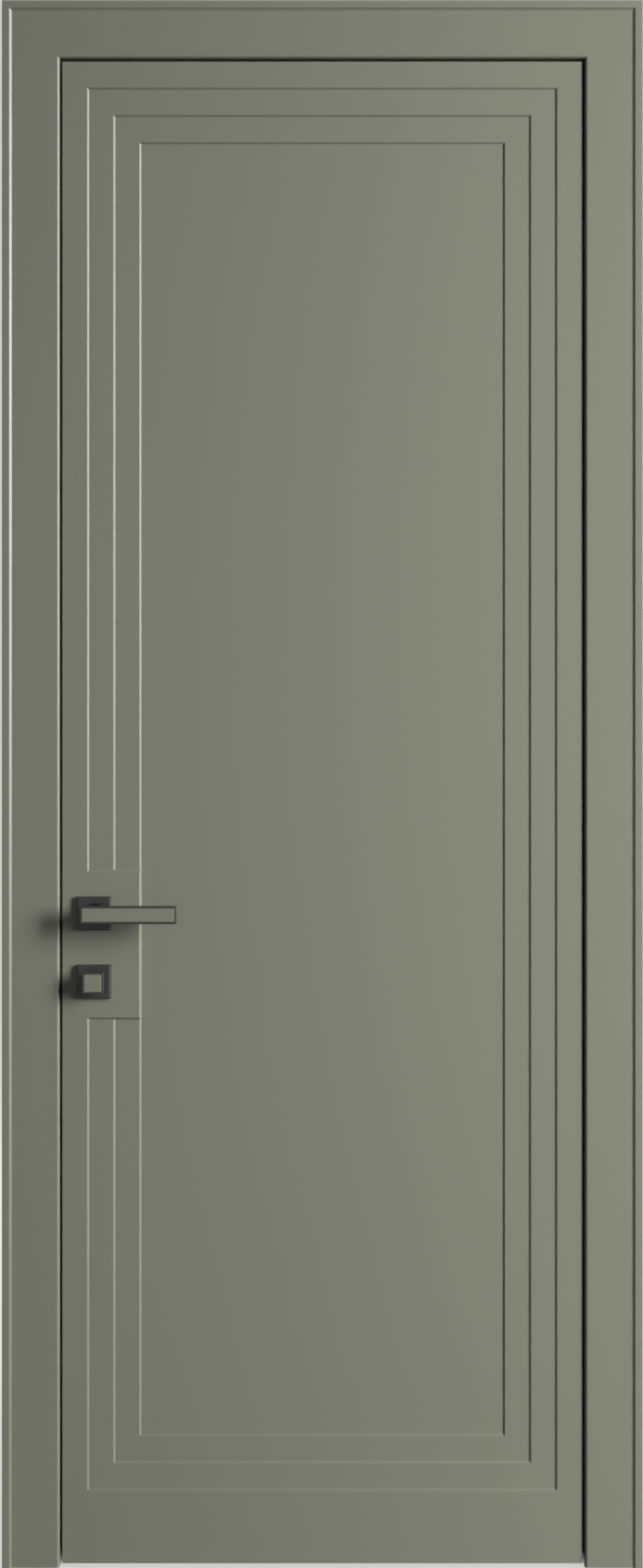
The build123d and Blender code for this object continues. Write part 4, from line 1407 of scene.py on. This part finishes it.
@dataclass
class CrossScrews:
    """Countersunk screws with a cross recess, copied to their places."""

    finishes: Finishes
    head_radius: float = 4.0 * MM
    head_depth: float = 2.0 * MM
    head_edge: float = 0.15 * MM
    shank_radius: float = 2.0 * MM
    point: float = 4.0 * MM
    point_share: float = 0.15
    cross: Point = (4.6 * MM, 1.1 * MM, 1.4 * MM)
    overrun: float = 1.0 * MM
    first_turn: float = 17.0
    next_turn: float = 41.0

    def screw(self, length: float) -> Workpiece:
        """Make one screw along Z, its head's face at zero.

        Args:
            length: Its whole length.

        Returns:
            The screw.
        """
        screw = Workpiece.rod("screw", self.head_radius, (0.0, 0.0, -self.head_depth), (0.0, 0.0, 0.0), sides=40)
        taper = self.shank_radius / self.head_radius
        ends = ((0.0, taper), (length - self.head_depth - self.point, 1.0), (self.point, self.point_share))
        with screw.editing():
            for run, narrowing in ends:
                bpy.ops.mesh.select_all(action="DESELECT")
                lowest = min(v.co.z for v in bmesh.from_edit_mesh(screw.obj.data).verts)
                screw.pick_faces(lambda middle, normal: normal.z < -FACING and about(middle.z, lowest))
                if run:
                    bpy.ops.mesh.extrude_region_move(TRANSFORM_OT_translate={"value": (0.0, 0.0, -run)})
                bpy.ops.transform.resize(value=(narrowing, narrowing, 1.0), center_override=(0.0, 0.0, 0.0))
        screw.chamfer(lambda edge: level_at(edge, 2, [0.0]), self.head_edge, steps=2)
        long, wide, deep = self.cross
        for across, up in ((long, wide), (wide, long)):
            corners = (-across / 2, -up / 2, -deep), (across / 2, up / 2, self.overrun)
            screw.minus(Workpiece.block("cross_cutter", *corners))
        return screw

    def group(self, node: str, places: Sequence[Vector], out_of: float, length: float, body: str) -> None:
        """Put a screw at each place of a solid that holds several.

        Args:
            node: The solid that the group stands for.
            places: Where the heads' faces lie.
            out_of: 1 where the heads face +X, -1 where they face -X.
            length: The screws' length.
            body: The body that they ride on.
        """
        model = self.screw(length)
        copies = []
        for count, place in enumerate(places):
            copy = model.copied(f"{node}_{count}")
            copy.placed((0.0, 0.0, 0.0), (0.0, 0.0, math.radians(self.first_turn + self.next_turn * count)))
            copies.append(copy.placed(place, (0.0, out_of * math.pi / 2, 0.0)))
        model.scrap()
        group = copies[0].joined(copies[1:])
        group.obj.name = f"{node}_set"
        group.dressed(self.finishes.zinc, body, "steel", node)

    def pair(self, node: str, out_of: float, body: str) -> None:
        """Put two screws where a solid has one at its lower and one at its upper end.

        Args:
            node: The solid that the pair stands for.
            out_of: 1 where the heads face +X, -1 where they face -X.
            body: The body that they ride on.
        """
        low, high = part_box(node)
        face = high.x if out_of > 0 else low.x
        middle = (low.y + high.y) / 2
        places = [Vector((face, middle, z)) for z in (low.z + self.head_radius, high.z - self.head_radius)]
        self.group(node, places, out_of, high.x - low.x, body)


@dataclass
class ConcealedHinges:
    """Three concealed hinges: a cup in the jamb, a cup in the leaf and two crossed arms."""

    finishes: Finishes
    screws: CrossScrews
    screw_offset: float = 38.0 * MM

    def build(self) -> None:
        """Dress the cups and arms and put in their screws."""
        for level in Level:
            for piece in ("frame_cup", "leaf_cup", "frame_arm", "leaf_arm"):
                paint_node(f"{level.value}_hinge_{piece}", self.finishes.hinge)
        for side, out_of in (("frame", -1.0), ("leaf", 1.0)):
            low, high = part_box(f"hinge_{side}_screws")
            face = low.x if side == "frame" else high.x
            places = []
            for level in Level:
                middle = middle_of(f"{level.value}_hinge_{side}_cup")
                places += [Vector((face, middle.y, middle.z + way * self.screw_offset)) for way in (-1, 1)]
            self.screws.group(f"hinge_{side}_screws", places, out_of, high.x - low.x, side)


@dataclass
class Lock:
    """The lock in the leaf's edge, its bolts and the strike in the jamb."""

    finishes: Finishes
    screws: CrossScrews

    def build(self) -> None:
        """Dress the lock and the strike and put in their screws."""
        for node in ("lock_forend", "strike_plate", "latch_bolt", "deadbolt"):
            paint_node(node, self.finishes.steel)
        paint_node("lock_case", self.finishes.zinc)
        paint_node("strike_boxes", self.finishes.plastic)
        paint_node("strike_magnet", self.finishes.ferrite)
        self.screws.pair("forend_screws", -1.0, "leaf")
        self.screws.pair("strike_screws", 1.0, "frame")


@dataclass
class Studio:
    """The floor, the lamps and the camera."""

    distance: float = 3.0
    eye_height: float = 1.2037
    eye_side: float = -1.1 * MM
    view_height: float = 2.4118
    sensor: float = 36.0
    floor_size: float = 14.0
    floor_colour: Colour = (0.15, 0.15, 0.146)
    floor_glow: Colour = (0.56, 0.56, 0.55)
    floor_mottle: float = 0.015
    floor_scale: float = 1.5
    floor_roughness: float = 0.9
    sky: float = 0.045
    sky_colour: Colour = (1.0, 1.0, 0.99)
    backdrop: float = 0.6
    lamp_distance: float = 9.0
    lamp_elevation: float = 22.5
    lamp_rise: float = 16.0
    lamp_size: tuple[float, float] = (4.0, 5.6)
    lamp_spread: float = 50.0
    lamp_aim: Point = (4.2, 0.0, 2.2)
    lamp_watts: float = 412.0
    rear_place: Point = (-2.6, 2.6, 2.4)
    rear_size: tuple[float, float] = (1.8, 3.0)
    rear_watts: float = 180.0

    def sky_dome(self) -> None:
        """Give the scene a dim soft sky that shows as a pale backdrop."""
        world = bpy.data.worlds.new("studio_world")
        kit = NodeKit(world)
        background = kit.tree.nodes["Background"]
        level = kit.node("ShaderNodeMix", {}, {0: kit.shown(), 2: self.sky, 3: self.backdrop})
        kit.feed(background.inputs["Strength"], level)
        kit.feed(background.inputs["Color"], (*self.sky_colour, 1.0))
        bpy.context.scene.world = world

    def floor(self) -> None:
        """Lay a plain floor that shows pale and keeps the door's shadow."""
        bpy.ops.object.select_all(action="DESELECT")
        bpy.ops.mesh.primitive_plane_add(size=self.floor_size, location=(0.0, 0.0, 0.0))
        obj = bpy.context.active_object
        obj.name = "studio_floor"
        kit = PaintKit("pale_floor")
        cloud = kit.noise(self.floor_scale)
        floor = kit.principled(
            Base_Color=kit.toned(cloud, self.floor_colour, 1 - self.floor_mottle, 1 + self.floor_mottle),
            Roughness=self.floor_roughness,
            Specular_IOR_Level=0.0,
            Emission_Color=kit.between(kit.shown(), (0.0, 0.0, 0.0), self.floor_glow),
            Emission_Strength=1.0,
        )
        obj.data.materials.append(floor)

    @staticmethod
    def lamp(
        name: str, place: Place, aim: Place, size: tuple[float, float], watts: float, spread: float = 180.0
    ) -> None:
        """Hang a rectangular soft lamp.

        Args:
            name: The lamp's name.
            place: Where it hangs.
            aim: What it points at.
            size: Its width and height.
            watts: Its power.
            spread: How wide its grid lets the light fan out, in degrees.
        """
        data = bpy.data.lights.new(name, "AREA")
        data.shape = "RECTANGLE"
        data.size, data.size_y = size
        data.energy = watts
        data.spread = math.radians(spread)
        obj = bpy.data.objects.new(name, data)
        obj.location = place
        obj.rotation_euler = (Vector(aim) - Vector(place)).to_track_quat("-Z", "Y").to_euler()
        bpy.context.scene.collection.objects.link(obj)

    def lamps(self) -> None:
        """Hang a far lamp low at the right and a near one behind the door."""
        centre = Vector((0.0, 0.0, self.eye_height))
        lift, rise = math.radians(self.lamp_elevation), math.radians(self.lamp_rise)
        towards = Vector((math.cos(lift) * math.cos(rise), -math.sin(lift), math.cos(lift) * math.sin(rise)))
        place = centre + self.lamp_distance * towards
        self.lamp("side_lamp", place, self.lamp_aim, self.lamp_size, self.lamp_watts, self.lamp_spread)
        self.lamp("rear_lamp", self.rear_place, centre, self.rear_size, self.rear_watts)

    def camera(self) -> None:
        """Stand the camera straight in front of the pull side."""
        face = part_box("leaf_front_skin")[0].y
        data = bpy.data.cameras.new("camera")
        data.sensor_width = self.sensor
        data.lens = self.sensor * self.distance / self.view_height
        obj = bpy.data.objects.new("camera", data)
        obj.location = (self.eye_side, face - self.distance, self.eye_height)
        obj.rotation_euler = (math.pi / 2, 0.0, 0.0)
        bpy.context.scene.collection.objects.link(obj)
        bpy.context.scene.camera = obj

    def build(self) -> None:
        """Set up the studio."""
        bpy.context.scene.view_settings.view_transform = "Standard"
        self.sky_dome()
        self.floor()
        self.lamps()
        self.camera()


def main() -> None:
    """Build the door's pieces in order and set up the studio."""
    logging.basicConfig(level=logging.INFO, format="%(name)s: %(message)s")
    finishes = Finishes()
    Leaf(finishes).build()
    CasedFrame(finishes).build()
    screws = CrossScrews(finishes)
    Rosettes(finishes).build()
    LeverSet(finishes).build()
    TurnSet(finishes).build()
    Lock(finishes, screws).build()
    ConcealedHinges(finishes, screws).build()
    Studio().build()


if __name__ == "__main__":
    main()
